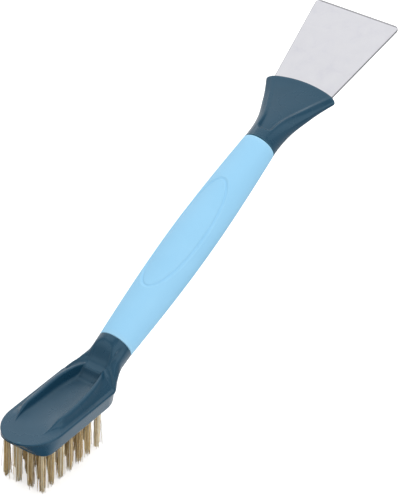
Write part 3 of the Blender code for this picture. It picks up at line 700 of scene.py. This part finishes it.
def holder_ring(along, half_width, half_thickness, flatness, bulge, panels=True):
    """A section between a circle and a flat bar with round edges, with its sunk panels."""
    power = lerp(2.0, 3.8, flatness)
    panel = min(panel_half_width(max(along, PANEL_START)), half_width - 2 * PANEL_RIM)
    quarter = []
    for y in ring_places(panel, half_width):
        height = half_thickness * max(1.0 - (y / half_width) ** power, 0.0) ** (1.0 / power)
        outside = max(y - panel, 0.0) / (half_width - panel)
        height *= 1.0 - HOLDER_FLANK_FALL * flatness * outside
        if panels:
            height = panel_height(along, y, height)
        quarter.append(Vector((along + bulge * (1.0 - (y / half_width) ** 2), y, height)))
    left_edge, right_edge = Vector((along, half_width, 0.0)), Vector((along, -half_width, 0.0))
    back = quarter[:0:-1]
    return (quarter + [left_edge] + [Vector((p.x, p.y, -p.z)) for p in back]
            + [Vector((p.x, -p.y, -p.z)) for p in quarter]
            + [right_edge] + [Vector((p.x, -p.y, p.z)) for p in back])


def holder_spigot_rings():
    """The spigot and the end face, which are tilted from the holder's axis to the grip's."""
    bend = GRIP_ANGLE - SCRAPER_ANGLE
    back = Vector((-math.cos(bend), 0.0, -math.sin(bend)))
    up = Vector((-math.sin(bend), 0.0, math.cos(bend)))
    rings = []
    for distance, radius in reversed(spigot_profile(GRIP_BACK_RADIUS)):
        flat = holder_ring(0.0, radius, radius, 0.0, 0.0, panels=False)
        rings.append([back * distance + Vector((0, p.y, 0)) + up * p.z for p in flat])
    return rings


def holder_mouth_rings(end, half_width, half_thickness):
    """The tip's face, drawn in to the mouth of the blade's slot and a little way down it."""
    face = holder_ring(end, half_width - HOLDER_CORNER, half_thickness - 0.25 * HOLDER_CORNER, 1.0,
                       HOLDER_TIP_BULGE)
    mouth_y = BLADE_ROOT_WIDTH / 2 + CLEARANCE
    mouth_z = BLADE_THICKNESS / 2 + CLEARANCE
    rings = []
    for share, depth in ((0.06, 0.00005), (0.16, 0.00012), (0.85, 0.00012), (1.0, 0.0001),
                         (1.0, 0.0008), (1.0, 0.0040)):
        ring = []
        for p in face:
            y = lerp(p.y, p.y / (half_width - HOLDER_CORNER) * mouth_y, share)
            z = lerp(p.z, math.copysign(min(abs(p.z), mouth_z), p.z), share)
            lean = HOLDER_TIP_BULGE * (1.0 - min(abs(y) / half_width, 1.0) ** 2)
            ring.append(Vector((end + lean - depth, y, z)))
        rings.append(ring)
    return rings


def holder_rings():
    """All sections of the holder, close together where the panels start."""
    straight = HOLDER_LENGTH - HOLDER_CORNER - HOLDER_TIP_BULGE
    stops = [0.0006, 0.0014, 0.0023, 0.0031, 0.0036, 0.0040, 0.0043, 0.0046, 0.0049, 0.0052,
             0.0056, 0.0060, 0.0064, 0.0068, 0.0073, 0.0079, 0.0086]
    stops += [lerp(stops[-1], straight, step / HOLDER_STEPS)
              for step in range(1, HOLDER_STEPS + 1)]
    rings = holder_spigot_rings()
    for along in stops:
        share = along / straight
        rings.append(holder_ring(along, holder_half_width(along), holder_half_thickness(along),
                                 smoothstep(share, 0.0, 1.0), HOLDER_TIP_BULGE * share))
    tip = holder_half_width(straight)
    thin = holder_half_thickness(straight)
    for degrees in (20, 40, 58, 74, 86):
        turn = math.radians(degrees)
        inset = HOLDER_CORNER * (1.0 - math.cos(turn))
        rings.append(holder_ring(straight + HOLDER_CORNER * math.sin(turn), tip - inset,
                                 thin - 0.25 * inset, 1.0, HOLDER_TIP_BULGE))
    return rings + holder_mouth_rings(straight + HOLDER_CORNER, tip, thin)


def make_holder():
    holder = loft("flared_holder", holder_rings())
    subdivide_surface(holder, 1)
    put(holder, SCRAPER_ANGLE, SCRAPER_START)
    smooth(holder, 50.0)
    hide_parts("scraper_holder")
    return holder


# Scraper blade

def blade_half_width(along):
    share = (along - HOLDER_LENGTH) / (BLADE_END - HOLDER_LENGTH)
    return lerp(BLADE_ROOT_WIDTH, BLADE_TIP_WIDTH, share) / 2


def grind_blade(blade):
    """In edit mode, thin the sheet towards its front edge."""
    bpy.ops.mesh.select_all(action="SELECT")
    bpy.ops.mesh.bisect(plane_co=(BLADE_END - BLADE_BEVEL, 0, 0), plane_no=(1, 0, 0))
    bm = bmesh.from_edit_mesh(blade.data)
    for vert in bm.verts:
        ground = progress(vert.co.x, BLADE_END - BLADE_BEVEL, BLADE_END)
        vert.co.z *= lerp(1.0, BLADE_LAND / BLADE_THICKNESS, ground)
    bmesh.update_edit_mesh(blade.data)


def make_blade():
    """A tapered sheet with rounded tip corners, a ground front edge and a narrow rim."""
    start = HOLDER_LENGTH - BLADE_TANG
    length = BLADE_END - start
    bpy.ops.object.select_all(action="DESELECT")
    bpy.ops.mesh.primitive_cube_add(size=1.0, location=(start + length / 2, 0, 0),
                                    scale=(length, 1.0, BLADE_THICKNESS))
    blade = bpy.context.object
    blade.name = "steel_blade"
    bpy.ops.object.transform_apply(location=True, rotation=True, scale=True)
    bpy.ops.object.mode_set(mode="EDIT")
    for x in (start, BLADE_END):
        select_where(blade, lambda co: abs(co.x - x) < 0.001)
        bpy.ops.transform.resize(value=(1, 2 * blade_half_width(x), 1), center_override=(x, 0, 0))
    select_where(blade, lambda a, b: min(a.x, b.x) > BLADE_END - 0.001 and abs(a.y - b.y) < 0.001,
                 "EDGE")
    bpy.ops.mesh.bevel(offset=BLADE_CORNER, offset_type="OFFSET", segments=10, affect="EDGES")
    grind_blade(blade)
    select_where(blade, lambda middle, normal: abs(normal.z) > 0.8, "FACE")
    # A narrow flat band round each face, with no depth, that takes the darker steel.
    bpy.ops.mesh.inset(thickness=BLADE_RIM_BAND, depth=0.0)
    bpy.ops.object.mode_set(mode="OBJECT")
    # All but the two largest faces, the bands and the edges, take the darker steel.
    faces = sorted(blade.data.polygons, key=lambda face: -face.area)
    for face in faces[2:]:
        face.material_index = 1
    put(blade, SCRAPER_ANGLE, SCRAPER_START)
    smooth(blade, 30.0)
    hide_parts("scraper_blade")
    return blade


# Wire tufts; shares of a wire's place are in tuft radii

WIRE_SIDES = 3
WIRE_STEPS = 9
WIRE_RADIUS = 0.000125
WIRE_RINGS = 4
WIRE_ROOT = 0.0030
WIRE_JITTER = 0.06
TUFT_ROOT_RADIUS = TUFT_HOLE_RADIUS - 0.0003
TUFT_PATTERNS = 4
STRANDS = 9
STRAND_TONE_SHARE = 0.40
STRAND_PULL = 0.30
WIRE_SPLAY = 0.08
WIRE_DRIFT = 0.09
TIP_SHORTEST = 0.0003
TIP_ROUNDING = 0.0036
TIP_RAGGED = 0.0012
TIP_GATHER = 0.12
FULL_LENGTH_CHANCE = 0.10
STRAY_EDGE = 0.6
STRAY_CHANCE = 0.08
STRAY_SPLAY = (0.5, 1.5)
CRIMP_SWING = (0.00003, 0.00009)
CRIMP_LENGTH = 0.0011
PATTERN_SEED = 11
TURN_SEED = 5


def wire_places():
    """Place of each wire at the root: one in the middle and rings round it."""
    places = [Vector((0, 0))]
    for ring in range(1, WIRE_RINGS + 1):
        for i in range(6 * ring):
            turn = 2 * math.pi * i / (6 * ring) + 0.37 * ring
            places.append(Vector((math.cos(turn), math.sin(turn))) * ring / WIRE_RINGS)
    return places


def straight_wires(name, count):
    """Draw one wire down by a length of 1 and duplicate it in place."""
    bpy.ops.object.select_all(action="DESELECT")
    bpy.ops.mesh.primitive_circle_add(vertices=WIRE_SIDES, radius=WIRE_RADIUS, fill_type="NGON")
    wires = bpy.context.object
    wires.name = name
    bpy.ops.object.mode_set(mode="EDIT")
    bpy.ops.mesh.select_mode(type="FACE")
    bpy.ops.mesh.select_all(action="SELECT")
    for _ in range(WIRE_STEPS):
        bpy.ops.mesh.extrude_region_move(
            TRANSFORM_OT_translate={"value": (0, 0, -1.0 / WIRE_STEPS)})
    bpy.ops.mesh.select_all(action="SELECT")
    for _ in range(count - 1):
        bpy.ops.mesh.duplicate()
    bpy.ops.mesh.select_all(action="SELECT")
    bpy.ops.mesh.normals_make_consistent(inside=False)
    bpy.ops.object.mode_set(mode="OBJECT")
    return wires


def bend_wire(verts, place, strand, chance):
    """Bend one straight wire to its own length, splay and crimp, and draw its own tone, which also
    carries painted shade and highlight.
    """
    edge = place.length
    place = place + Vector((chance.uniform(-1, 1), chance.uniform(-1, 1))) * WIRE_JITTER
    short = (TIP_SHORTEST + TIP_ROUNDING * edge**1.5 * chance.random()
             + TIP_RAGGED * chance.random() ** 2)
    if chance.random() < FULL_LENGTH_CHANCE:
        short = 0.0
    tone = chance.random()
    spread = WIRE_SPLAY * place + STRAND_PULL * (strand - place)
    spread += Vector((chance.gauss(0, WIRE_DRIFT), chance.gauss(0, WIRE_DRIFT)))
    gather = TIP_GATHER
    if edge > STRAY_EDGE and chance.random() < STRAY_CHANCE:
        spread += place.normalized() * chance.uniform(*STRAY_SPLAY)
        gather = 0.0
    phase = chance.uniform(0, 2 * math.pi)
    wave_turn = chance.uniform(0, math.pi)
    wave = Vector((math.cos(wave_turn), math.sin(wave_turn))) * chance.uniform(*CRIMP_SWING)
    turn = Matrix.Rotation(chance.uniform(0, 2 * math.pi), 2)
    for vert in verts:
        side = turn @ vert.co.xy
        z = lerp(WIRE_ROOT, short - BRISTLE_LENGTH, -vert.co.z)
        below = max(-z, 0.0) / BRISTLE_LENGTH
        bend = 1.6 * below - 0.6 * below**3
        way = place * TUFT_ROOT_RADIUS + spread * TUFT_ROOT_RADIUS * bend
        way *= 1.0 - gather * smoothstep(below, 0.72, 1.0)
        way += wave * math.sin(phase + z / CRIMP_LENGTH)
        vert.co = Vector((way.x + side.x, way.y + side.y, z))
    return tone


def tuft_pattern(name, seed):
    """A bunch of fine crimped wires, packed at the root, loose below and ragged at the tips."""
    chance = random.Random(seed)
    places = wire_places()
    tuft = straight_wires(name, len(places))
    # Each wire's tone, which the brass shader also turns into painted shade and highlight.
    tones = tuft.data.attributes.new("wire_tone_and_shade", "FLOAT", "POINT")
    count = (WIRE_STEPS + 1) * WIRE_SIDES
    strands = [Vector((chance.uniform(-1, 1), chance.uniform(-1, 1))) for _ in range(STRANDS)]
    strand_tones = [chance.random() for _ in strands]
    for index, place in enumerate(places):
        nearest = min(range(STRANDS), key=lambda i: (strands[i] - place).length)
        span = slice(index * count, (index + 1) * count)
        own = bend_wire(tuft.data.vertices[span], place, strands[nearest], chance)
        for tone in tones.data[span]:
            tone.value = lerp(own, strand_tones[nearest], STRAND_TONE_SHARE)
    return tuft


def make_tufts():
    patterns = [tuft_pattern(f"wire_pattern_{i}", PATTERN_SEED + i) for i in range(TUFT_PATTERNS)]
    chance = random.Random(TURN_SEED)
    tufts = []
    for index, (number, x, y) in enumerate(tuft_places()):
        pattern = patterns[(index * 3 + index // TUFT_COLUMNS) % TUFT_PATTERNS]
        tuft = bpy.data.objects.new(f"wire_tuft_{number}", pattern.data.copy())
        bpy.context.collection.objects.link(tuft)
        tuft.rotation_euler.z = chance.uniform(0, 2 * math.pi)
        tuft.location = Vector((x, y, 0)) + HEAD_PLACE
        pick(tuft)
        bpy.ops.object.transform_apply(location=True, rotation=True, scale=True)
        bpy.ops.object.shade_smooth()
        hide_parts("tuft_" + number)
        tufts.append(tuft)
    for pattern in patterns:
        bpy.data.objects.remove(pattern, do_unlink=True)
    return tufts


# Shader groups

def add(nodes, kind, x, y, inputs=None, **settings):
    """Add a node at its place in the editor, with its settings and its inputs' values."""
    node = nodes.new(kind)
    node.location = (x, y)
    for key, value in settings.items():
        setattr(node, key, value)
    for key, value in (inputs or {}).items():
        node.inputs[key].default_value = value
    return node


def connect(links, *joints):
    """Join nodes; a joint is a node and its output, then the next node and its input."""
    for source, output, target, entry in joints:
        links.new(source.outputs[output], target.inputs[entry])


def new_group(name, inputs, outputs):
    """Start a shader group with its inputs' usual values and its outputs, on object coordinates."""
    group = bpy.data.node_groups.new(name, "ShaderNodeTree")
    for label, value in inputs.items():
        socket = group.interface.new_socket(label, in_out="INPUT", socket_type="NodeSocketFloat")
        socket.default_value = value
    for label in outputs:
        group.interface.new_socket(label, in_out="OUTPUT", socket_type="NodeSocketFloat")
    start = add(group.nodes, "NodeGroupInput", -1100, 0)
    end = add(group.nodes, "NodeGroupOutput", 500, 0)
    place = add(group.nodes, "ShaderNodeTexCoord", -1100, -300)
    return group, start, end, place


def moulding_grain():
    """Fine moulded grain and slow cloudy tone."""
    group, start, end, place = new_group(
        "moulding grain", {"Grain Scale": 2600.0, "Cloud Scale": 60.0}, ("Grain", "Cloud"))
    nodes, links = group.nodes, group.links
    grain = add(nodes, "ShaderNodeTexNoise", -500, 200, {"Detail": 3.0})
    cloud = add(nodes, "ShaderNodeTexNoise", -500, -50, {"Detail": 4.0, "Roughness": 0.55})
    for node, name in ((grain, "Grain"), (cloud, "Cloud")):
        connect(links, (place, "Object", node, "Vector"),
                (start, name + " Scale", node, "Scale"),
                (node, "Fac", end, name))
    return group


def handling_marks():
    """Faint smudges, and fine rubbing marks that are drawn out along the brush."""
    group, start, end, place = new_group(
        "handling marks", {"Smudge Scale": 90.0, "Rub Scale": 700.0}, ("Smudge", "Rub"))
    nodes, links = group.nodes, group.links
    along = add(nodes, "ShaderNodeMapping", -850, -300,
                {"Rotation": (0.0, SCRAPER_ANGLE, 0.0), "Scale": (0.05, 1.0, 1.0)})
    smudge = add(nodes, "ShaderNodeTexNoise", -500, 100,
                 {"Detail": 6.0, "Roughness": 0.6, "Distortion": 0.6})
    spread = add(nodes, "ShaderNodeMapRange", -200, 100, {"From Min": 0.38, "From Max": 0.70})
    rub = add(nodes, "ShaderNodeTexNoise", -500, -250, {"Detail": 2.0})
    connect(links, (place, "Object", smudge, "Vector"),
            (start, "Smudge Scale", smudge, "Scale"),
            (smudge, "Fac", spread, "Value"),
            (spread, "Result", end, "Smudge"),
            (place, "Object", along, "Vector"),
            (along, "Vector", rub, "Vector"),
            (start, "Rub Scale", rub, "Scale"),
            (rub, "Fac", end, "Rub"))
    return group


def edge_wear_and_highlight():
    """1 on the sharp outer edges and rims of a moulding, 0 on its faces, a little uneven. It marks
    where a paler colour is painted: partly rubbed wear, partly painted highlight.
    """
    group, start, end, place = new_group("edge wear and highlight", {"Breakup Scale": 300.0}, ("Edges",))
    nodes, links = group.nodes, group.links
    shape = add(nodes, "ShaderNodeNewGeometry", -1100, 300)
    uneven = add(nodes, "ShaderNodeTexNoise", -800, -200, {"Detail": 3.0})
    shift = add(nodes, "ShaderNodeMath", -550, 100, {1: 0.012}, operation="MULTIPLY_ADD")
    edges = add(nodes, "ShaderNodeMapRange", -250, 200, {"From Min": 0.520, "From Max": 0.560})
    connect(links, (place, "Object", uneven, "Vector"),
            (start, "Breakup Scale", uneven, "Scale"),
            (uneven, "Fac", shift, 0),
            (shape, "Pointiness", shift, 2),
            (shift, "Value", edges, "Value"),
            (edges, "Result", end, "Edges"))
    return group


GRAIN = moulding_grain()
EDGES = edge_wear_and_highlight()
MARKS = handling_marks()


# Materials

def new_material(name):
    made = bpy.data.materials.new(name)
    made.use_nodes = True
    tree = made.node_tree
    return made, tree.nodes, tree.links, tree.nodes["Principled BSDF"]


def grouped(nodes, tree, x, y, inputs):
    return add(nodes, "ShaderNodeGroup", x, y, inputs, node_tree=tree)


def tone_ramp(nodes, x, y, stops):
    ramp = add(nodes, "ShaderNodeValToRGB", x, y)
    elements = ramp.color_ramp.elements
    while len(elements) < len(stops):
        elements.new(0.5)
    for element, (place, colour) in zip(elements, stops):
        element.position = place
        element.color = (*colour, 1.0)
    return ramp


def plastic(name, stops, rubbed_and_highlit, roughness, grain_scale, relief, shine, tint):
    """Moulded plastic: cloudy tone, paler edges that are partly rubbed wear and partly painted
    highlight, uneven gloss and a fine grain in relief.
    """
    made, nodes, links, shader = new_material(name)
    shader.inputs["Specular IOR Level"].default_value = shine
    shader.inputs["Specular Tint"].default_value = (*tint, 1.0)
    edges = grouped(nodes, EDGES, -900, 400, {"Breakup Scale": 350.0})
    grain = grouped(nodes, GRAIN, -900, 0, {"Grain Scale": grain_scale, "Cloud Scale": 45.0})
    marks = grouped(nodes, MARKS, -900, -300, {"Smudge Scale": 70.0, "Rub Scale": 500.0})
    tone = tone_ramp(nodes, -500, 200, stops)
    # Paler colour on edges and rims: partly rubbed wear, partly painted highlight.
    wear_and_highlight = add(nodes, "ShaderNodeMix", -200, 300, {7: (*rubbed_and_highlit, 1.0)}, data_type="RGBA")
    gloss = add(nodes, "ShaderNodeMapRange", -500, -100,
                {"To Min": roughness - 0.05, "To Max": roughness + 0.08})
    bump = add(nodes, "ShaderNodeBump", -300, -350, {"Strength": relief, "Distance": 0.00004})
    connect(links, (grain, "Cloud", tone, "Fac"),
            (edges, "Edges", wear_and_highlight, 0),
            (tone, "Color", wear_and_highlight, 6),
            (wear_and_highlight, 2, shader, "Base Color"),
            (marks, "Smudge", gloss, "Value"),
            (gloss, "Result", shader, "Roughness"),
            (grain, "Grain", bump, "Height"),
            (bump, "Normal", shader, "Normal"))
    return made


def sheet_steel():
    """Satin sheet with smudges, a cloudy gloss and fine rubbing marks."""
    made, nodes, links, shader = new_material("satin_sheet_steel")
    shader.inputs["Metallic"].default_value = 1.0
    marks = grouped(nodes, MARKS, -900, 0, {"Smudge Scale": 110.0, "Rub Scale": 1500.0})
    grain = grouped(nodes, GRAIN, -900, -300, {"Grain Scale": 1800.0, "Cloud Scale": 160.0})
    tone = tone_ramp(nodes, -500, 200, ((0.0, (0.745, 0.745, 0.780)), (0.55, (0.730, 0.730, 0.770)),
                                        (1.0, (0.695, 0.695, 0.745))))
    gloss = add(nodes, "ShaderNodeMapRange", -500, -100, {"To Min": 0.34, "To Max": 0.46})
    bump = add(nodes, "ShaderNodeBump", -300, -350, {"Strength": 0.15, "Distance": 0.00003})
    connect(links, (marks, "Smudge", tone, "Fac"),
            (tone, "Color", shader, "Base Color"),
            (grain, "Cloud", gloss, "Value"),
            (gloss, "Result", shader, "Roughness"),
            (marks, "Rub", bump, "Height"),
            (bump, "Normal", shader, "Normal"))
    return made


def dark_rim_steel():
    """Darker steel for a narrow band round the sheet's faces and for its edges, finely streaked."""
    made, nodes, links, shader = new_material("dark_steel_rim")
    shader.inputs["Metallic"].default_value = 0.6
    marks = grouped(nodes, MARKS, -900, 0, {"Smudge Scale": 300.0, "Rub Scale": 2500.0})
    tone = tone_ramp(nodes, -500, 200, ((0.2, (0.26, 0.26, 0.28)), (0.8, (0.38, 0.38, 0.40))))
    gloss = add(nodes, "ShaderNodeMapRange", -500, -100, {"To Min": 0.30, "To Max": 0.50})
    connect(links, (marks, "Rub", tone, "Fac"),
            (tone, "Color", shader, "Base Color"),
            (marks, "Smudge", gloss, "Value"),
            (gloss, "Result", shader, "Roughness"))
    return made


def brass_wire():
    """Drawn wire: each wire has its own tone, which clouds along it. The tones run from dark brown
    to near white: partly real variation, partly painted shade and highlight.
    """
    made, nodes, links, shader = new_material("drawn_brass_wire")
    shader.inputs["Metallic"].default_value = 0.35
    shader.inputs["Roughness"].default_value = 0.34
    grain = grouped(nodes, GRAIN, -1100, -200, {"Grain Scale": 900.0, "Cloud Scale": 500.0})
    own = add(nodes, "ShaderNodeAttribute", -1100, 200, attribute_name="wire_tone_and_shade")
    both = add(nodes, "ShaderNodeMath", -800, 100, {1: 0.30}, operation="MULTIPLY_ADD")
    # Dark end: painted shade; pale end: painted highlight; both given to wires at random.
    tone = tone_ramp(nodes, -500, 200, ((0.20, (0.13, 0.075, 0.026)), (0.42, (0.66, 0.44, 0.175)),
                                        (0.64, (1.0, 0.80, 0.44)), (0.95, (1.0, 0.96, 0.82))))
    connect(links, (grain, "Cloud", both, 0),
            (own, "Fac", both, 2),
            (both, "Value", tone, "Fac"),
            (tone, "Color", shader, "Base Color"))
    return made


# Setting

WHITE = (1.0, 1.0, 1.0, 1.0)


def painted_floor_reflection(nodes, links):
    """Painted reflection: a glow on the floor that only shiny pieces see, dim but for a bright pool
    beside the head, its left side and its far side."""
    place = add(nodes, "ShaderNodeTexCoord", -1000, -300)
    parts = add(nodes, "ShaderNodeSeparateXYZ", -800, -500)
    away = add(nodes, "ShaderNodeVectorMath", -800, -300, {1: (-0.060, -0.070, 0.0)},
               operation="DISTANCE")
    pool = add(nodes, "ShaderNodeMapRange", -600, -300,
               {"From Min": 0.100, "From Max": 0.045, "To Min": 0.15, "To Max": 1.15},
               interpolation_type="SMOOTHSTEP")
    left = add(nodes, "ShaderNodeMapRange", -600, -500,
               {"From Min": 0.015, "From Max": 0.050, "To Max": 0.95},
               interpolation_type="SMOOTHSTEP")
    ahead = add(nodes, "ShaderNodeMapRange", -600, -750,
                {"From Min": 0.02, "From Max": 0.14, "To Max": 0.50},
                interpolation_type="SMOOTHSTEP")
    sides = add(nodes, "ShaderNodeMath", -450, -600, operation="MAXIMUM")
    both = add(nodes, "ShaderNodeMath", -300, -450, operation="MAXIMUM")
    glow = add(nodes, "ShaderNodeEmission", -300, -300, {"Color": WHITE})
    connect(links, (place, "Object", away, 0),
            (away, "Value", pool, "Value"),
            (place, "Object", parts, "Vector"),
            (parts, "Y", left, "Value"),
            (parts, "X", ahead, "Value"),
            (left, "Result", sides, 0),
            (ahead, "Result", sides, 1),
            (pool, "Result", both, 0),
            (sides, "Value", both, 1),
            (both, "Value", glow, "Strength"))
    return glow


def white_floor():
    """Pale floor that the camera sees white where nothing shades it."""
    made, nodes, links, shader = new_material("white_floor")
    shader.inputs["Base Color"].default_value = (0.74, 0.74, 0.74, 1.0)
    shader.inputs["Roughness"].default_value = 0.9
    shader.inputs["Emission Color"].default_value = WHITE
    seen = add(nodes, "ShaderNodeLightPath", -600, 300)
    lift = add(nodes, "ShaderNodeMath", -300, 100, {1: 0.55}, operation="MULTIPLY")
    # Shiny pieces see this painted reflection glow in place of the lit floor.
    glow = painted_floor_reflection(nodes, links)
    mix = add(nodes, "ShaderNodeMixShader", 300, 200)
    connect(links, (seen, "Is Camera Ray", lift, 0),
            (lift, "Value", shader, "Emission Strength"),
            (seen, "Is Glossy Ray", mix, "Fac"),
            (shader, "BSDF", mix, 1),
            (glow, "Emission", mix, 2),
            (mix, "Shader", nodes["Material Output"], "Surface"))
    return made


def make_floor():
    bpy.ops.object.select_all(action="DESELECT")
    bpy.ops.mesh.primitive_plane_add(size=12.0, location=(0, 0, 0))
    floor = bpy.context.object
    floor.name = "floor"
    floor.data.materials.append(white_floor())


def make_world():
    """Even white light that shiny pieces see dimmer, on a white background."""
    world = bpy.data.worlds.new("studio")
    bpy.context.scene.world = world
    world.use_nodes = True
    nodes, links = world.node_tree.nodes, world.node_tree.links
    light = nodes["Background"]
    light.inputs["Color"].default_value = WHITE
    light.inputs["Strength"].default_value = 0.72
    dim = add(nodes, "ShaderNodeBackground", -200, -50, {"Color": WHITE, "Strength": 0.35})
    white = add(nodes, "ShaderNodeBackground", -200, -200, {"Color": WHITE, "Strength": 1.0})
    path = add(nodes, "ShaderNodeLightPath", -400, 300)
    shine = add(nodes, "ShaderNodeMixShader", 0, 100)
    mix = add(nodes, "ShaderNodeMixShader", 200, 100)
    connect(links, (path, "Is Glossy Ray", shine, "Fac"),
            (light, "Background", shine, 1),
            (dim, "Background", shine, 2),
            (path, "Is Camera Ray", mix, "Fac"),
            (shine, "Shader", mix, 1),
            (white, "Background", mix, 2),
            (mix, "Shader", nodes["World Output"], "Surface"))


LIGHTS_AIM = Vector((0.0, 0.0, 0.05))


def area_light(name, place, size, power):
    data = bpy.data.lights.new(name, "AREA")
    data.size = size
    data.energy = power
    lamp = bpy.data.objects.new(name, data)
    bpy.context.collection.objects.link(lamp)
    lamp.location = place
    lamp.rotation_euler = (LIGHTS_AIM - Vector(place)).to_track_quat("-Z", "Y").to_euler()


def make_lights():
    area_light("overhead_softbox", (0.66, 0.44, 1.27), size=1.9, power=8.2)
    area_light("left_softbox", (0.80, 1.20, 0.36), size=1.1, power=2.2)
    area_light("right_fill", (-0.35, -1.30, 0.80), size=2.0, power=9.8)
    area_light("front_left_fill", (-0.95, 0.66, 1.00), size=0.9, power=1.6)


CAMERA_PLACE = Vector((-0.76643, -0.48946, 0.66807))
CAMERA_HEADING = math.radians(32.4)
CAMERA_DIP = math.radians(33.91)
CAMERA_ROLL = math.radians(3.177)
CAMERA_LENS = 169.35


def make_camera():
    """The camera that was fitted to the brush's outlines."""
    data = bpy.data.cameras.new("camera")
    data.sensor_fit = "VERTICAL"
    data.sensor_height = 36.0
    data.lens = CAMERA_LENS
    data.clip_start = 0.01
    camera = bpy.data.objects.new("camera", data)
    bpy.context.collection.objects.link(camera)
    ahead = Vector((math.cos(CAMERA_HEADING) * math.cos(CAMERA_DIP),
                    math.sin(CAMERA_HEADING) * math.cos(CAMERA_DIP), -math.sin(CAMERA_DIP)))
    level = ahead.to_track_quat("-Z", "Y").to_matrix().to_4x4()
    camera.matrix_world = (Matrix.Translation(CAMERA_PLACE) @ level
                           @ Matrix.Rotation(CAMERA_ROLL, 4, "Z"))
    bpy.context.scene.camera = camera


# The brush and its setting put together

def dress(piece, slot, *finishes):
    """Give a piece its materials and its body; its material slot is not used."""
    for finish in finishes:
        piece.data.materials.append(finish)
    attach(piece, "root")


def main():
    bpy.ops.object.select_all(action="DESELECT")
    # Each plastic's paler edge colour is partly rubbed wear and partly painted highlight.
    dark = plastic("slate_blue_plastic",
                   stops=((0.25, (0.008, 0.048, 0.089)), (0.75, (0.012, 0.057, 0.104))),
                   rubbed_and_highlit=(0.026, 0.120, 0.170), roughness=0.28, grain_scale=1500.0, relief=0.02,
                   shine=0.70, tint=(0.62, 0.86, 1.0))
    pale = plastic("sky_blue_plastic",
                   stops=((0.25, (0.297, 0.612, 0.868)), (0.75, (0.320, 0.636, 0.888))),
                   rubbed_and_highlit=(0.390, 0.700, 0.915), roughness=0.55, grain_scale=2600.0, relief=0.12,
                   shine=0.50, tint=(1.0, 1.0, 1.0))
    dress(make_head(), "dark_plastic", dark)
    dress(make_sleeve(), "pale_blue_plastic", pale)
    dress(make_holder(), "dark_plastic", dark)
    dress(make_blade(), "steel", sheet_steel(), dark_rim_steel())
    brass = brass_wire()
    for tuft in make_tufts():
        dress(tuft, "brass", brass)
    make_floor()
    make_world()
    make_lights()
    make_camera()
    bpy.context.scene.view_settings.view_transform = "Standard"


main()
